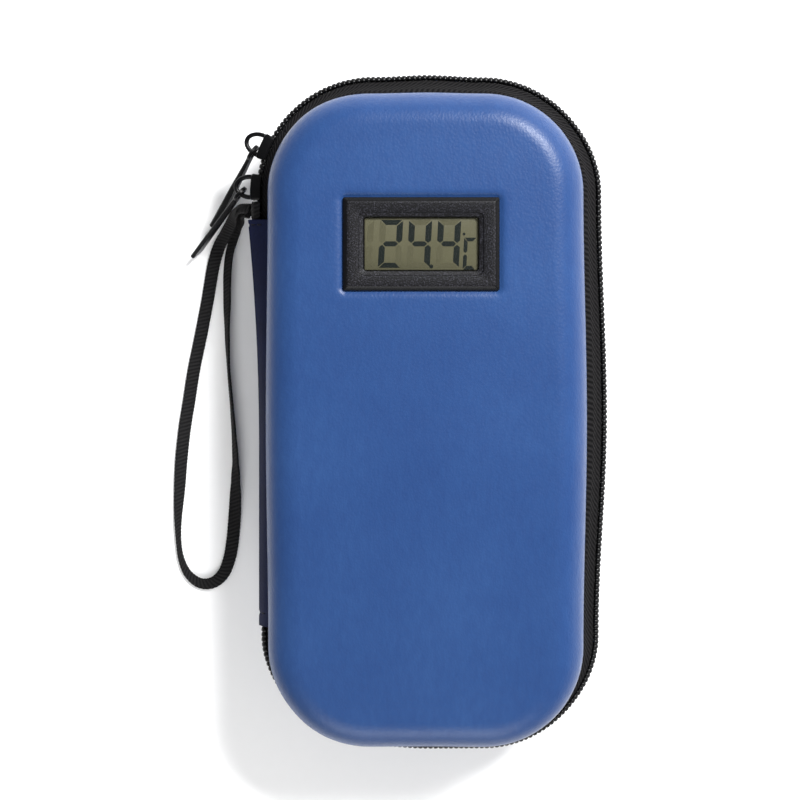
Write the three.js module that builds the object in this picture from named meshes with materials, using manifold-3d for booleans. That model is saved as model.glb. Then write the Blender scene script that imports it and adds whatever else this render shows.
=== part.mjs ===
// Insulin cooling case: two moulded shells joined by a zip and a folding spine,
// with a panel thermometer in the front shell, pen loops and a gel pack inside.
// Millimetres, +Z up. The case lies on its back shell, whose flat face is z = 0,
// and the origin is the centre of that face. +Y runs along the case, +X to the zip side.
import * as THREE from "three";
import { mergeVertices } from "three/addons/utils/BufferGeometryUtils.js";
import Module from "manifold-3d";

// Outline of the shells, seen from above
const HALF_WIDTH = 48.8;
const HALF_LENGTH = 102.1;
const CORNER_RADIUS = 31;
const SIDE_BOW = 1.1;
const END_BOW = 0.3;
const ARC_STEPS = 9;
const SIDE_STEPS = 6;
const KNOT_GAP_SHARE = 0.01;
const ARC_X = HALF_WIDTH - CORNER_RADIUS;
const ARC_Y = HALF_LENGTH - CORNER_RADIUS;

// Heights
const ZIP_Z = 27;
const RIM_GAP = 6.5;
const BACK_RIM_Z = ZIP_Z - RIM_GAP;
const FRONT_RIM_Z = ZIP_Z + RIM_GAP;
const BACK_FACE_Z = 0;
const FRONT_FACE_Z = 52;

// Shell walls and layers
const EDGE_FILLET = 8.5;
const RIM_FLARE = 0.7;
const FILLET_STEPS = 4;
const LEAST_FILLET = 1.5;
const SHELL_WALL = 3;
const FOAM_WALL = 3.2;
const LINING_WALL = 0.8;
const LAYER_GAP = 0.3;
const LAYER_SETBACK = 0.4;
const MERGE_DISTANCE = 1e-4;

// Spine at the left side
const SPINE_FROM_Y = -67.3;
const SPINE_TO_Y = 63;
const SPINE_REACH = 5.6;
const SPINE_INNER_REACH = 2.1;
const SPINE_OUTER_X = -HALF_WIDTH - SPINE_REACH;
const SPINE_SWELL = 3.6;
const SPINE_SWELL_FROM_Y = -10;
const SPINE_WALL = 2.4;
const SPINE_INNER_X = -HALF_WIDTH - SPINE_INNER_REACH;
const SPINE_LIP = 1;
const SPINE_ROUND = 1.2;
const SPINE_SHOULDER = 3;
const SPINE_GAP = 0.4;
const SPINE_STEPS = 12;

// Zip: distances from the shell outline and from the zip plane
const ZIP_FROM_Y = SPINE_FROM_Y - LAYER_GAP;
const ZIP_TO_Y = SPINE_TO_Y + LAYER_GAP;
const TAPE_ROOT = -2.4;
const TAPE_BEND = 0.4;
const TAPE_THICKNESS = 1;
const COIL_DEPTH = 1.8;
const COIL_OUTER = 6;
const COIL_INNER = COIL_OUTER - COIL_DEPTH;
const TAPE_OUTER = COIL_INNER - LAYER_GAP;
const COIL_HALF_GAP = 0.15;
const COIL_HEIGHT = 2.9;
const COIL_ROUND = 0.6;
// How far the band bulges past its mean line at every half step of the outline, from
// the lower end at the left round to the upper end, as shares of ZIP_BULGE
const ZIP_BULGE = 1;
const BULGE_SHARES = [-3.2, -2.4, -1.2, -0.6, -0.2, 0.1, 0.2, 1.2, 0, -0.3, 0.4, 0.8, 0.8, 0.8, 0.8, 0.8];

// Strap anchor, a tab folded round the zip just above the spine
const ANCHOR_SETBACK = 0.4;
const ANCHOR_LENGTH = 3;
const ANCHOR_FROM_Y = ZIP_TO_Y + ANCHOR_SETBACK;
const ANCHOR_TO_Y = ANCHOR_FROM_Y + ANCHOR_LENGTH;

// Sliders: angles up the top-left corner arc, measured from the left. The second stands
// just above the strap anchor, and the first a little further on.
const SLIDER_HALF_SPAN = 6.2;
const SLIDER_PITCH = 20.1;
const SLIDER_FOOT_GAP = 2.4;
const SLIDER_STEPS = 4;
const SLIDER_CLEARANCE = 0.5;
const SLIDER_PLATE = 1.2;
const SLIDER_LIP = 1.6;
const SLIDER_FLANGE = 0.8;
const CORNER_COIL = COIL_OUTER + ZIP_BULGE * BULGE_SHARES.at(-1);
const SLIDER_INNER = CORNER_COIL - SLIDER_LIP;
const SLIDER_CHANNEL = CORNER_COIL + SLIDER_CLEARANCE;
const SLIDER_OUTER = SLIDER_CHANNEL + SLIDER_PLATE;
const SLIDER_CHANNEL_HALF = COIL_HEIGHT + SLIDER_CLEARANCE;
const SLIDER_HALF_HEIGHT = SLIDER_CHANNEL_HALF + SLIDER_FLANGE;
const DEG = Math.PI / 180;
const SLIDER_SWEEP_RADIUS = CORNER_RADIUS + SLIDER_OUTER;
const LOWER_SLIDER_ANGLE = SLIDER_HALF_SPAN
  + Math.asin((ANCHOR_TO_Y + SLIDER_FOOT_GAP - ARC_Y) / SLIDER_SWEEP_RADIUS) / DEG;
const SLIDER_ANGLES = [LOWER_SLIDER_ANGLE + SLIDER_PITCH, LOWER_SLIDER_ANGLE];
const CROWN_HALF_SPAN = 3.9;
const CROWN_REACH = 5.6;
const CROWN_BAR = 1.2;
const CROWN_HEIGHT = 1.8;
const CROWN_STEPS = 12;
const CROWN_OVERLAP = 0.4;

// Where the zip's front half parts from its closed end, just past the first slider
const CLOSED_END_GAP = 0.6;
const CLOSED_END_Y = ARC_Y + CLOSED_END_GAP
  + SLIDER_SWEEP_RADIUS * Math.sin((SLIDER_ANGLES[0] + SLIDER_HALF_SPAN) * DEG);
const CLOSED_OVERRUN_ANGLES = [-4, 36];
const CLOSED_GAP = 0.3;

// Pull tabs: where each hangs on its crown, its plan direction and its droop
const PULL_CROWN_ANGLES = [16, 44];
const PULL_DIRECTIONS = [234.9, 226.8];
const PULL_DROOPS = [41.2, 42];
const PULL_LENGTHS = [36.9, 36.3];
const PULL_RING = 2.8;
const PULL_HOLE = 1.75;
const PULL_NECK_LENGTH = 5.6;
const PULL_NECK_HALF = 1.96;
const PULL_TIP_HALF = 2.9;
const PULL_TIP_ROUND = 0.5;
const PULL_THICKNESS = 1.2;
const PULL_STEPS = 12;

// Wrist strap
const STRAP_WIDTH = 4.3;
const STRAP_THICKNESS = 1;
const STRAP_STEPS = 96;
// Each point of the route, with the degrees that the band is rolled about it
const STRAP_ROUTE = [
  [-59.4, 66.5, 25.6, 48], [-61.5, 66.3, 22.6, 46], [-63.6, 65.3, 17, 38], [-65.2, 63.9, 12, 26], [-66.8, 61.6, 8, 12],
  [-69, 58.4, 4.7, 10], [-71.5, 54.6, 2, 4], [-73.6, 48.5, 0.9, 0], [-75.8, 35.9, 0.8, 4], [-78.4, 22.2, 0.9, 8],
  [-80.5, 12, 0.9, 8], [-82.1, 1.7, 0.9, 8], [-83.7, -8.5, 0.9, 8], [-84.8, -18.8, 0.9, 8], [-85.4, -29, 0.9, 8],
  [-85.9, -39.3, 0.9, 6], [-85.6, -47.8, 0.8, 0], [-84.7, -53, 0.8, 0], [-82.4, -57.9, 0.8, 0], [-78.4, -60.9, 0.8, 0],
  [-74.2, -60.8, 0.8, 0], [-70.6, -57.9, 0.8, 0], [-68.5, -53, 0.8, 0], [-67.5, -47.8, 0.8, 0], [-66.8, -41, 0.8, 0],
  [-66.3, -32.5, 1.3, -20], [-66.1, -25.6, 1.9, -42], [-66.1, -18.8, 2.2, -58], [-66.7, -8.5, 2.3, -68],
  [-67.5, 1.7, 2.3, -74], [-68.4, 12, 2.3, -76], [-68.9, 23.9, 2.3, -66], [-69, 35.9, 2.1, -52], [-68.9, 44.8, 1.9, -48],
  [-68.2, 51.5, 2, -48], [-66.6, 56.8, 2.8, -44], [-65.1, 60.6, 5, -34], [-63.4, 63, 9, -30], [-61.8, 64.7, 13.6, -38],
  [-60.2, 65, 18.4, -46], [-59.1, 65, 22.6, -48],
];

// Panel thermometer in the front shell
const METER_X = -1.8;
const METER_Y = 55;
const BEZEL_WIDTH = 48;
const BEZEL_LENGTH = 28.6;
const BEZEL_PROUD = 1.3;
const BEZEL_SEAT_GAP = 0.05;
const BEZEL_CHAMFER = 1.2;
const BEZEL_NECK = 2.4;
const WINDOW_WIDTH = 36.4;
const WINDOW_LENGTH = 17.2;
const WINDOW_THICKNESS = 1;
const WINDOW_RECESS = 0.9;
const HOUSING_WIDTH = 45.4;
const HOUSING_LENGTH = 26;
const HOUSING_DEPTH = 13.4;
const HOUSING_WALL = 1.2;
const CUTOUT_GAP = 0.4;
const LCD_THICKNESS = 2;
const BOARD_THICKNESS = 1.2;
const CELL_RADIUS = 5.8;
const CELL_HEIGHT = 4.2;
const CELL_X = 6.3;
const DOOR_WIDTH = 26;
const DOOR_LENGTH = 14;
const DOOR_THICKNESS = 1;
const SENSOR_RADIUS = 1.5;
const SENSOR_HEIGHT = 3.4;
const SENSOR_X = -(CELL_X + CELL_RADIUS + HOUSING_WIDTH / 2 - HOUSING_WALL) / 2;

// Pen bands in the back shell
const BAND_WIDTH = 16;
const BAND_HALF_SPAN = 38;
const BAND_THICKNESS = 0.9;
const BAND_YS = [44, -44];
const PEN_RADIUS = 9;
const PEN_PITCH = 25;
const LOOP_HEIGHT = 15.8;
const LOOP_STEPS = 12;

// Gel pack and mesh pocket in the front shell
const GEL_HALF_WIDTH = 37;
const GEL_FROM_Y = -87;
const GEL_TO_Y = 24;
const GEL_THICKNESS = 7.6;
const GEL_EDGE = 2.6;
const GEL_CORNER = 8;
const GEL_LEAST_CORNER = 2;
const GEL_CROWN = 0.8;
const POCKET_THICKNESS = 0.9;
const POCKET_TO_Y = 32;
const POCKET_HALF_WIDTH = 40.6;
const POCKET_FROM_Y = -92.6;
const POCKET_CORNER = 22;

const wasm = await Module();
wasm.setup();

const cover = { color: 0x375a96, roughness: 0.55, metalness: 0 };
const board = { color: 0x2c2d31, roughness: 0.9, metalness: 0 };
const lining = { color: 0x3a3c41, roughness: 0.95, metalness: 0 };
const spineCloth = { color: 0x24304d, roughness: 0.7, metalness: 0 };
const tapeCloth = { color: 0x232325, roughness: 0.85, metalness: 0 };
const coilNylon = { color: 0x1b1b1d, roughness: 0.45, metalness: 0 };
const sliderMetal = { color: 0x19191b, roughness: 0.35, metalness: 0.7 };
const meterPlastic = { color: 0x2b2a2e, roughness: 0.6, metalness: 0 };

const caseGroup = new THREE.Group();

// Geometry helpers

function indexedGeometry(points, triangles) {
  const geometry = new THREE.BufferGeometry();
  const flat = points.flatMap((p) => [p.x, p.y, p.z]);
  geometry.setAttribute("position", new THREE.Float32BufferAttribute(flat, 3));
  geometry.setIndex(triangles);
  return geometry;
}

// Skins a list of equal rings of points, capped flat at both ends
function skin(rings) {
  const count = rings[0].length;
  const points = rings.flat();
  const triangles = [];
  for (let r = 0; r + 1 < rings.length; r++) {
    for (let i = 0; i < count; i++) {
      const j = (i + 1) % count;
      const a = r * count + i;
      const b = r * count + j;
      triangles.push(a, b, b + count, a, b + count, a + count);
    }
  }
  const last = (rings.length - 1) * count;
  for (const [a, b, c] of capTriangles(rings[0])) {
    triangles.push(a, c, b);
  }
  for (const [a, b, c] of capTriangles(rings[rings.length - 1])) {
    triangles.push(last + a, last + b, last + c);
  }
  return facingOut(indexedGeometry(points, triangles));
}

// Triangles of a flat ring, counted in the ring's own plane
function capTriangles(ring) {
  const normal = new THREE.Vector3();
  for (let i = 0; i < ring.length; i++) {
    const next = ring[(i + 1) % ring.length];
    normal.add(new THREE.Vector3().crossVectors(ring[i], next));
  }
  normal.normalize();
  const side = Math.abs(normal.z) > 0.9 ? new THREE.Vector3(1, 0, 0) : new THREE.Vector3(0, 0, 1);
  const across = new THREE.Vector3().crossVectors(side, normal).normalize();
  const up = new THREE.Vector3().crossVectors(normal, across);
  const flat = ring.map((p) => new THREE.Vector2(p.dot(across), p.dot(up)));
  return THREE.ShapeUtils.triangulateShape(flat, []);
}

function volumeOf(geometry) {
  const position = geometry.getAttribute("position");
  const index = geometry.getIndex();
  const corner = [new THREE.Vector3(), new THREE.Vector3(), new THREE.Vector3()];
  let volume = 0;
  for (let i = 0; i < index.count; i += 3) {
    corner.forEach((v, k) => v.fromBufferAttribute(position, index.getX(i + k)));
    volume += corner[0].dot(new THREE.Vector3().crossVectors(corner[1], corner[2])) / 6;
  }
  return volume;
}

function facingOut(geometry) {
  if (volumeOf(geometry) < 0) {
    const index = geometry.getIndex();
    for (let i = 0; i < index.count; i += 3) {
      const second = index.getX(i + 1);
      index.setX(i + 1, index.getX(i + 2));
      index.setX(i + 2, second);
    }
  }
  return geometry;
}

function toSolid(source) {
  const bare = source.clone();
  bare.deleteAttribute("normal");
  bare.deleteAttribute("uv");
  const merged = mergeVertices(bare, MERGE_DISTANCE);
  return new wasm.Manifold(new wasm.Mesh({
    numProp: 3,
    vertProperties: new Float32Array(merged.getAttribute("position").array),
    triVerts: new Uint32Array(merged.getIndex().array),
  }));
}

function fromSolid(solid) {
  const mesh = solid.getMesh();
  const geometry = new THREE.BufferGeometry();
  geometry.setAttribute("position", new THREE.BufferAttribute(new Float32Array(mesh.vertProperties), 3));
  geometry.setIndex(new THREE.BufferAttribute(new Uint32Array(mesh.triVerts), 1));
  return geometry;
}

function cut(geometry, ...tools) {
  return fromSolid(tools.reduce((solid, tool) => solid.subtract(toSolid(tool)), toSolid(geometry)));
}

function join(geometry, ...others) {
  return fromSolid(others.reduce((solid, other) => solid.add(toSolid(other)), toSolid(geometry)));
}

function box(width, length, height, x, y, z) {
  return new THREE.BoxGeometry(width, length, height).translate(x, y, z);
}

function roundedRectangle(left, bottom, right, top, radius) {
  const shape = new THREE.Shape();
  shape.absarc(right - radius, bottom + radius, radius, -Math.PI / 2, 0);
  shape.absarc(right - radius, top - radius, radius, 0, Math.PI / 2);
  shape.absarc(left + radius, top - radius, radius, Math.PI / 2, Math.PI);
  shape.absarc(left + radius, bottom + radius, radius, Math.PI, Math.PI * 1.5);
  return shape;
}

function addPiece(name, geometry, look, parent = caseGroup) {
  const mesh = new THREE.Mesh(geometry, new THREE.MeshStandardMaterial(look));
  mesh.name = name;
  parent.add(mesh);
  return mesh;
}

// Outline of the case, anticlockwise from the upper end of the left side. Each whole
// number of u starts the next side or corner arc: left, corner, bottom, corner, and so on.

const SEGMENTS = 8;

function outlineAt(u, offset) {
  const segment = Math.floor(u) % SEGMENTS;
  const part = u - Math.floor(u);
  const quarter = segment / 2;
  const facing = Math.PI + Math.floor(quarter) * Math.PI / 2;
  if (segment % 2 === 1) {
    const angle = facing + part * Math.PI / 2;
    const centreX = Math.sign(Math.cos(facing + Math.PI / 4)) * ARC_X;
    const centreY = Math.sign(Math.sin(facing + Math.PI / 4)) * ARC_Y;
    const radius = CORNER_RADIUS + offset;
    return { x: centreX + radius * Math.cos(angle), y: centreY + radius * Math.sin(angle) };
  }
  const alongX = Math.abs(Math.cos(facing)) < 0.5;
  const halfRun = alongX ? ARC_X : ARC_Y;
  const reach = (alongX ? HALF_LENGTH : HALF_WIDTH) + offset;
  const run = (2 * part - 1) * halfRun;
  const bow = (alongX ? END_BOW : SIDE_BOW) * Math.cos(run / halfRun * Math.PI / 2) ** 2;
  const normal = { x: Math.round(Math.cos(facing)), y: Math.round(Math.sin(facing)) };
  return {
    x: normal.x * (reach + bow) - normal.y * run,
    y: normal.y * (reach + bow) + normal.x * run,
  };
}

function outlineKnots(from, to) {
  const knots = [from];
  for (let segment = Math.floor(from); segment < to; segment++) {
    const steps = segment % 2 === 1 ? ARC_STEPS : SIDE_STEPS;
    for (let i = 0; i < steps; i++) {
      const u = segment + i / steps;
      if (u > from + KNOT_GAP_SHARE && u < to - KNOT_GAP_SHARE) {
        knots.push(u);
      }
    }
  }
  return [...knots, to];
}

function outlineRing(offset, z) {
  return outlineKnots(0, SEGMENTS).slice(0, -1).map((u) => {
    const p = outlineAt(u, offset);
    return new THREE.Vector3(p.x, p.y, z);
  });
}

function sweepOutline(knots, profile, bulgeFrom = Infinity) {
  return skin(knots.map((u) => profile.map(([offset, z]) => {
    const p = outlineAt(u, offset + (offset > bulgeFrom ? bulgeAt(u) : 0));
    return new THREE.Vector3(p.x, p.y, z);
  })));
}

function bulgeAt(u) {
  const place = Math.min(Math.max(2 * (u - 1), 0), BULGE_SHARES.length - 1);
  const step = Math.min(Math.floor(place), BULGE_SHARES.length - 2);
  const blend = (1 - Math.cos((place - step) * Math.PI)) / 2;
  return ZIP_BULGE * (BULGE_SHARES[step] * (1 - blend) + BULGE_SHARES[step + 1] * blend);
}

// The left side's upper end is u = 8 and its lower end u = 1
const leftU = (y) => (ARC_Y - y) / (2 * ARC_Y);
const cornerU = (angleFromLeft) => SEGMENTS - angleFromLeft / 90;
const ZIP_FROM_U = leftU(ZIP_FROM_Y);
const ZIP_TO_U = SEGMENTS + leftU(ZIP_TO_Y);

// One layer of a tray: outer face, rounded edge, wall to the rim, and the same inside
function trayLayer(rimZ, faceZ, inset, wall) {
  const inward = Math.sign(rimZ - faceZ);
  const rim = rimZ - inward * (inset > 0 ? LAYER_SETBACK : 0);
  const wallLine = (depth, height) => {
    const radius = Math.max(EDGE_FILLET - depth, LEAST_FILLET);
    const floor = faceZ + inward * depth;
    const rings = [];
    for (let i = 0; i <= FILLET_STEPS; i++) {
      const angle = i / FILLET_STEPS * Math.PI / 2;
      const offset = -depth - radius * (1 - Math.sin(angle));
      rings.push(outlineRing(offset, floor + inward * radius * (1 - Math.cos(angle))));
    }
    rings.push(outlineRing(RIM_FLARE - depth, height));
    return rings;
  };
  const outside = wallLine(inset, rim);
  const inside = wallLine(inset + wall, rim);
  return skin([...outside, ...inside.reverse()]);
}

function layerStack(rimZ, faceZ) {
  const foamInset = SHELL_WALL + LAYER_GAP;
  const liningInset = foamInset + FOAM_WALL + LAYER_GAP;
  return {
    shell: trayLayer(rimZ, faceZ, 0, SHELL_WALL),
    foam: trayLayer(rimZ, faceZ, foamInset, FOAM_WALL),
    lining: trayLayer(rimZ, faceZ, liningInset, LINING_WALL),
  };
}

const LAYERS_DEPTH = SHELL_WALL + FOAM_WALL + LINING_WALL + 2 * LAYER_GAP;
const BACK_FLOOR_Z = BACK_FACE_Z + LAYERS_DEPTH;
const FRONT_FLOOR_Z = FRONT_FACE_Z - LAYERS_DEPTH;

// Shells, with the thermometer's hole through the front

const meterHole = box(
  HOUSING_WIDTH + 2 * CUTOUT_GAP, HOUSING_LENGTH + 2 * CUTOUT_GAP, 4 * HOUSING_DEPTH,
  METER_X, METER_Y, FRONT_FACE_Z,
);
const backLayers = layerStack(BACK_RIM_Z, BACK_FACE_Z);
const frontLayers = layerStack(FRONT_RIM_Z, FRONT_FACE_Z);
addPiece("back_shell", backLayers.shell, cover);
addPiece("back_insulation", backLayers.foam, board);
addPiece("back_lining", backLayers.lining, lining);
addPiece("front_shell", cut(frontLayers.shell, meterHole), cover);
addPiece("front_insulation", cut(frontLayers.foam, meterHole), board);
addPiece("front_lining", cut(frontLayers.lining, meterHole), lining);

// Zip: the tape leaves the shell under its rim and runs outwards to the coil

function zipHalf(side, knots) {
  const z = (height) => ZIP_Z + side * height;
  const root = RIM_GAP - LAYER_GAP;
  const tapeInner = TAPE_OUTER - TAPE_THICKNESS;
  const tape = [
    [TAPE_ROOT, z(root)], [TAPE_ROOT, z(root - TAPE_THICKNESS)], [0, z(root - TAPE_THICKNESS)],
    [tapeInner, z(COIL_HEIGHT - LAYER_GAP)], [tapeInner, z(COIL_HALF_GAP)],
    [TAPE_OUTER, z(COIL_HALF_GAP)], [TAPE_OUTER, z(COIL_HEIGHT)], [TAPE_BEND, z(root)],
  ];
  const coil = [
    [COIL_INNER, z(COIL_HALF_GAP)], [COIL_OUTER - COIL_ROUND, z(COIL_HALF_GAP)],
    [COIL_OUTER, z(COIL_HALF_GAP + COIL_ROUND)], [COIL_OUTER, z(COIL_HEIGHT - COIL_ROUND)],
    [COIL_OUTER - COIL_ROUND, z(COIL_HEIGHT)], [COIL_INNER, z(COIL_HEIGHT)],
  ];
  return { tape: sweepOutline(knots, tape, TAPE_BEND), coil: sweepOutline(knots, coil, TAPE_BEND) };
}

// The zip's front half is parted square across at CLOSED_END_Y: the end below it stays closed
const partingBox = (side) => box(
  HALF_WIDTH, HALF_WIDTH, FRONT_FACE_Z,
  -HALF_WIDTH, CLOSED_END_Y + side * (HALF_WIDTH - CLOSED_GAP) / 2, ZIP_Z,
);
const [closedFrom, closedTo] = CLOSED_OVERRUN_ANGLES.map((angle) => cornerU(SLIDER_ANGLES[0] + angle));
const backZip = zipHalf(-1, outlineKnots(ZIP_FROM_U, ZIP_TO_U));
const frontZip = zipHalf(1, outlineKnots(ZIP_FROM_U, closedFrom));
const closedZip = zipHalf(1, outlineKnots(closedTo, ZIP_TO_U));
addPiece("back_zip_tape", backZip.tape, tapeCloth);
addPiece("back_zip_coil", backZip.coil, coilNylon);
addPiece("front_zip_tape", cut(frontZip.tape, partingBox(-1)), tapeCloth);
addPiece("front_zip_coil", cut(frontZip.coil, partingBox(-1)), coilNylon);
addPiece("zip_end_tape", cut(closedZip.tape, partingBox(1)), tapeCloth);
addPiece("zip_end_coil", cut(closedZip.coil, partingBox(1)), coilNylon);

// Spine: a channel of cloth-covered board, wider at its upper end

function spineOuter(y) {
  const reach = Math.max(0, (y - SPINE_SWELL_FROM_Y) / (SPINE_TO_Y - SPINE_SWELL_FROM_Y));
  return SPINE_OUTER_X - SPINE_SWELL * reach ** 2;
}

function sweepSpine(profileAt) {
  const rings = [];
  for (let i = 0; i <= SPINE_STEPS; i++) {
    const y = SPINE_FROM_Y + (SPINE_TO_Y - SPINE_FROM_Y) * i / SPINE_STEPS;
    rings.push(profileAt(spineOuter(y)).map(([x, z]) => new THREE.Vector3(x, y, z)));
  }
  return skin(rings);
}

const spineBottom = BACK_RIM_Z + SPINE_GAP;
const spineTop = FRONT_RIM_Z - SPINE_GAP;
addPiece("spine_cover", sweepSpine((outer) => [
  [SPINE_INNER_X, spineBottom], [outer + SPINE_ROUND, spineBottom + SPINE_ROUND / 2],
  [outer, spineBottom + SPINE_SHOULDER], [outer, spineTop - SPINE_SHOULDER],
  [outer + SPINE_ROUND, spineTop - SPINE_ROUND / 2], [SPINE_INNER_X, spineTop],
  [SPINE_INNER_X, spineTop - SPINE_LIP], [outer + SPINE_WALL, spineTop - SPINE_SHOULDER],
  [outer + SPINE_WALL, spineBottom + SPINE_SHOULDER], [SPINE_INNER_X, spineBottom + SPINE_LIP],
]), spineCloth);
const liningEdge = SPINE_SHOULDER + LAYER_GAP;
addPiece("spine_lining", sweepSpine((outer) => [
  [outer + SPINE_WALL + LAYER_GAP, spineBottom + liningEdge],
  [outer + SPINE_WALL + LAYER_GAP, spineTop - liningEdge],
  [outer + SPINE_WALL + LAYER_GAP + LINING_WALL, spineTop - liningEdge],
  [outer + SPINE_WALL + LAYER_GAP + LINING_WALL, spineBottom + liningEdge],
]), lining);

// Sliders ride on the coil round the top-left corner. Each carries a crown arch.

function claspProfile(outer) {
  const z = (height) => ZIP_Z + height;
  return [
    [SLIDER_INNER, z(-SLIDER_HALF_HEIGHT)], [outer, z(-SLIDER_HALF_HEIGHT)],
    [outer, z(SLIDER_HALF_HEIGHT)], [SLIDER_INNER, z(SLIDER_HALF_HEIGHT)],
    [SLIDER_INNER, z(SLIDER_CHANNEL_HALF)], [SLIDER_CHANNEL, z(SLIDER_CHANNEL_HALF)],
    [SLIDER_CHANNEL, z(-SLIDER_CHANNEL_HALF)], [SLIDER_INNER, z(-SLIDER_CHANNEL_HALF)],
  ];
}

function evenKnots(from, to, steps) {
  return Array.from({ length: steps + 1 }, (_, i) => from + (to - from) * i / steps);
}

// Points of the crown's ellipse in the slider's own plan: x outwards, y down along the zip
function crownPoint(angle, inset) {
  return new THREE.Vector2(
    SLIDER_OUTER + CROWN_OVERLAP + (CROWN_REACH - CROWN_OVERLAP - inset) * Math.sin(angle),
    (CROWN_HALF_SPAN - inset) * Math.cos(angle),
  );
}

function crownArch() {
  const shape = new THREE.Shape();
  const foot = SLIDER_OUTER - CROWN_OVERLAP;
  shape.moveTo(foot, CROWN_HALF_SPAN);
  for (let i = 0; i <= CROWN_STEPS; i++) {
    const p = crownPoint(i / CROWN_STEPS * Math.PI, 0);
    shape.lineTo(p.x, p.y);
  }
  shape.lineTo(foot, -CROWN_HALF_SPAN);
  shape.lineTo(foot, -CROWN_HALF_SPAN + CROWN_BAR);
  for (let i = CROWN_STEPS; i >= 0; i--) {
    const p = crownPoint(i / CROWN_STEPS * Math.PI, CROWN_BAR);
    shape.lineTo(p.x, p.y);
  }
  shape.lineTo(foot, CROWN_HALF_SPAN - CROWN_BAR);
  const arch = new THREE.ExtrudeGeometry(shape, { depth: CROWN_HEIGHT, bevelEnabled: false });
  return arch.translate(CORNER_RADIUS, 0, ZIP_Z - CROWN_HEIGHT / 2);
}

// A slider's plan frame turned to its place on the corner arc
function atSlider(angleFromLeft) {
  const frame = new THREE.Matrix4().makeTranslation(-ARC_X, ARC_Y, 0);
  return frame.multiply(new THREE.Matrix4().makeRotationZ((180 - angleFromLeft) * DEG));
}

function makeSlider(angleFromLeft) {
  const rings = evenKnots(-SLIDER_HALF_SPAN, SLIDER_HALF_SPAN, SLIDER_STEPS).map((degrees) =>
    claspProfile(SLIDER_OUTER).map(([offset, z]) => new THREE.Vector3(
      (CORNER_RADIUS + offset) * Math.cos(degrees * DEG),
      (CORNER_RADIUS + offset) * Math.sin(degrees * DEG),
      z,
    )));
  return join(skin(rings), crownArch()).applyMatrix4(atSlider(angleFromLeft));
}

// A flat tab with a round eye, hung on the crown's bar
function makePull(index) {
  const length = PULL_LENGTHS[index];
  const shape = new THREE.Shape();
  shape.absarc(0, 0, PULL_RING, Math.PI * 0.25, Math.PI * 1.75);
  shape.lineTo(PULL_NECK_LENGTH, -PULL_NECK_HALF);
  shape.lineTo(length - PULL_TIP_ROUND, -PULL_TIP_HALF);
  shape.lineTo(length, PULL_TIP_ROUND - PULL_TIP_HALF);
  shape.lineTo(length, PULL_TIP_HALF - PULL_TIP_ROUND);
  shape.lineTo(length - PULL_TIP_ROUND, PULL_TIP_HALF);
  shape.lineTo(PULL_NECK_LENGTH, PULL_NECK_HALF);
  shape.holes.push(new THREE.Path().absarc(0, 0, PULL_HOLE, 0, Math.PI * 2));
  const tab = new THREE.ExtrudeGeometry(
    shape, { depth: PULL_THICKNESS, bevelEnabled: false, curveSegments: PULL_STEPS },
  );
  tab.translate(0, 0, -PULL_THICKNESS / 2).rotateX(Math.PI / 2);
  tab.rotateY(PULL_DROOPS[index] * DEG).rotateZ(PULL_DIRECTIONS[index] * DEG);
  const pivot = crownPoint(PULL_CROWN_ANGLES[index] * DEG, CROWN_BAR / 2);
  const place = new THREE.Vector3(CORNER_RADIUS + pivot.x, pivot.y, ZIP_Z);
  place.applyMatrix4(atSlider(SLIDER_ANGLES[index]));
  return tab.translate(place.x, place.y, place.z);
}

SLIDER_ANGLES.forEach((angle, index) => {
  addPiece(`slider_${index + 1}`, makeSlider(angle), sliderMetal);
  addPiece(`pull_tab_${index + 1}`, makePull(index), sliderMetal);
});

// Strap anchor round the zip's end, and the strap's loop laid beside the case. The strap
// leaves the anchor on edge and turns flat on its way down.

const anchorKnots = evenKnots(SEGMENTS + leftU(ANCHOR_TO_Y), SEGMENTS + leftU(ANCHOR_FROM_Y), 2);
addPiece("strap_anchor", sweepOutline(anchorKnots, claspProfile(SLIDER_OUTER)), tapeCloth);

function makeStrap() {
  const knots = STRAP_ROUTE.map(([x, y, z]) => new THREE.Vector3(x, y, z));
  const route = new THREE.CatmullRomCurve3(knots, false, "centripetal");
  const up = new THREE.Vector3(0, 0, 1);
  const halfWidth = STRAP_WIDTH / 2;
  const halfThick = STRAP_THICKNESS / 2;
  const section = [
    [-halfWidth, 0], [-halfWidth + halfThick, -halfThick], [halfWidth - halfThick, -halfThick],
    [halfWidth, 0], [halfWidth - halfThick, halfThick], [-halfWidth + halfThick, halfThick],
  ];
  const rings = [];
  for (let i = 0; i <= STRAP_STEPS; i++) {
    const t = route.getUtoTmapping(i / STRAP_STEPS);
    const centre = route.getPoint(t);
    const tangent = route.getTangent(t);
    const before = Math.min(Math.floor(t * (knots.length - 1)), knots.length - 2);
    const share = t * (knots.length - 1) - before;
    const roll = THREE.MathUtils.lerp(STRAP_ROUTE[before][3], STRAP_ROUTE[before + 1][3], share) * DEG;
    const across = new THREE.Vector3().crossVectors(up, tangent).normalize().applyAxisAngle(tangent, roll);
    const over = new THREE.Vector3().crossVectors(tangent, across);
    rings.push(section.map(([a, b]) =>
      centre.clone().addScaledVector(across, a).addScaledVector(over, b)));
  }
  return skin(rings);
}

addPiece("wrist_strap", makeStrap(), tapeCloth);

// Panel thermometer

const meter = new THREE.Group();
meter.position.set(METER_X, METER_Y, FRONT_FACE_Z);
caseGroup.add(meter);

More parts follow.
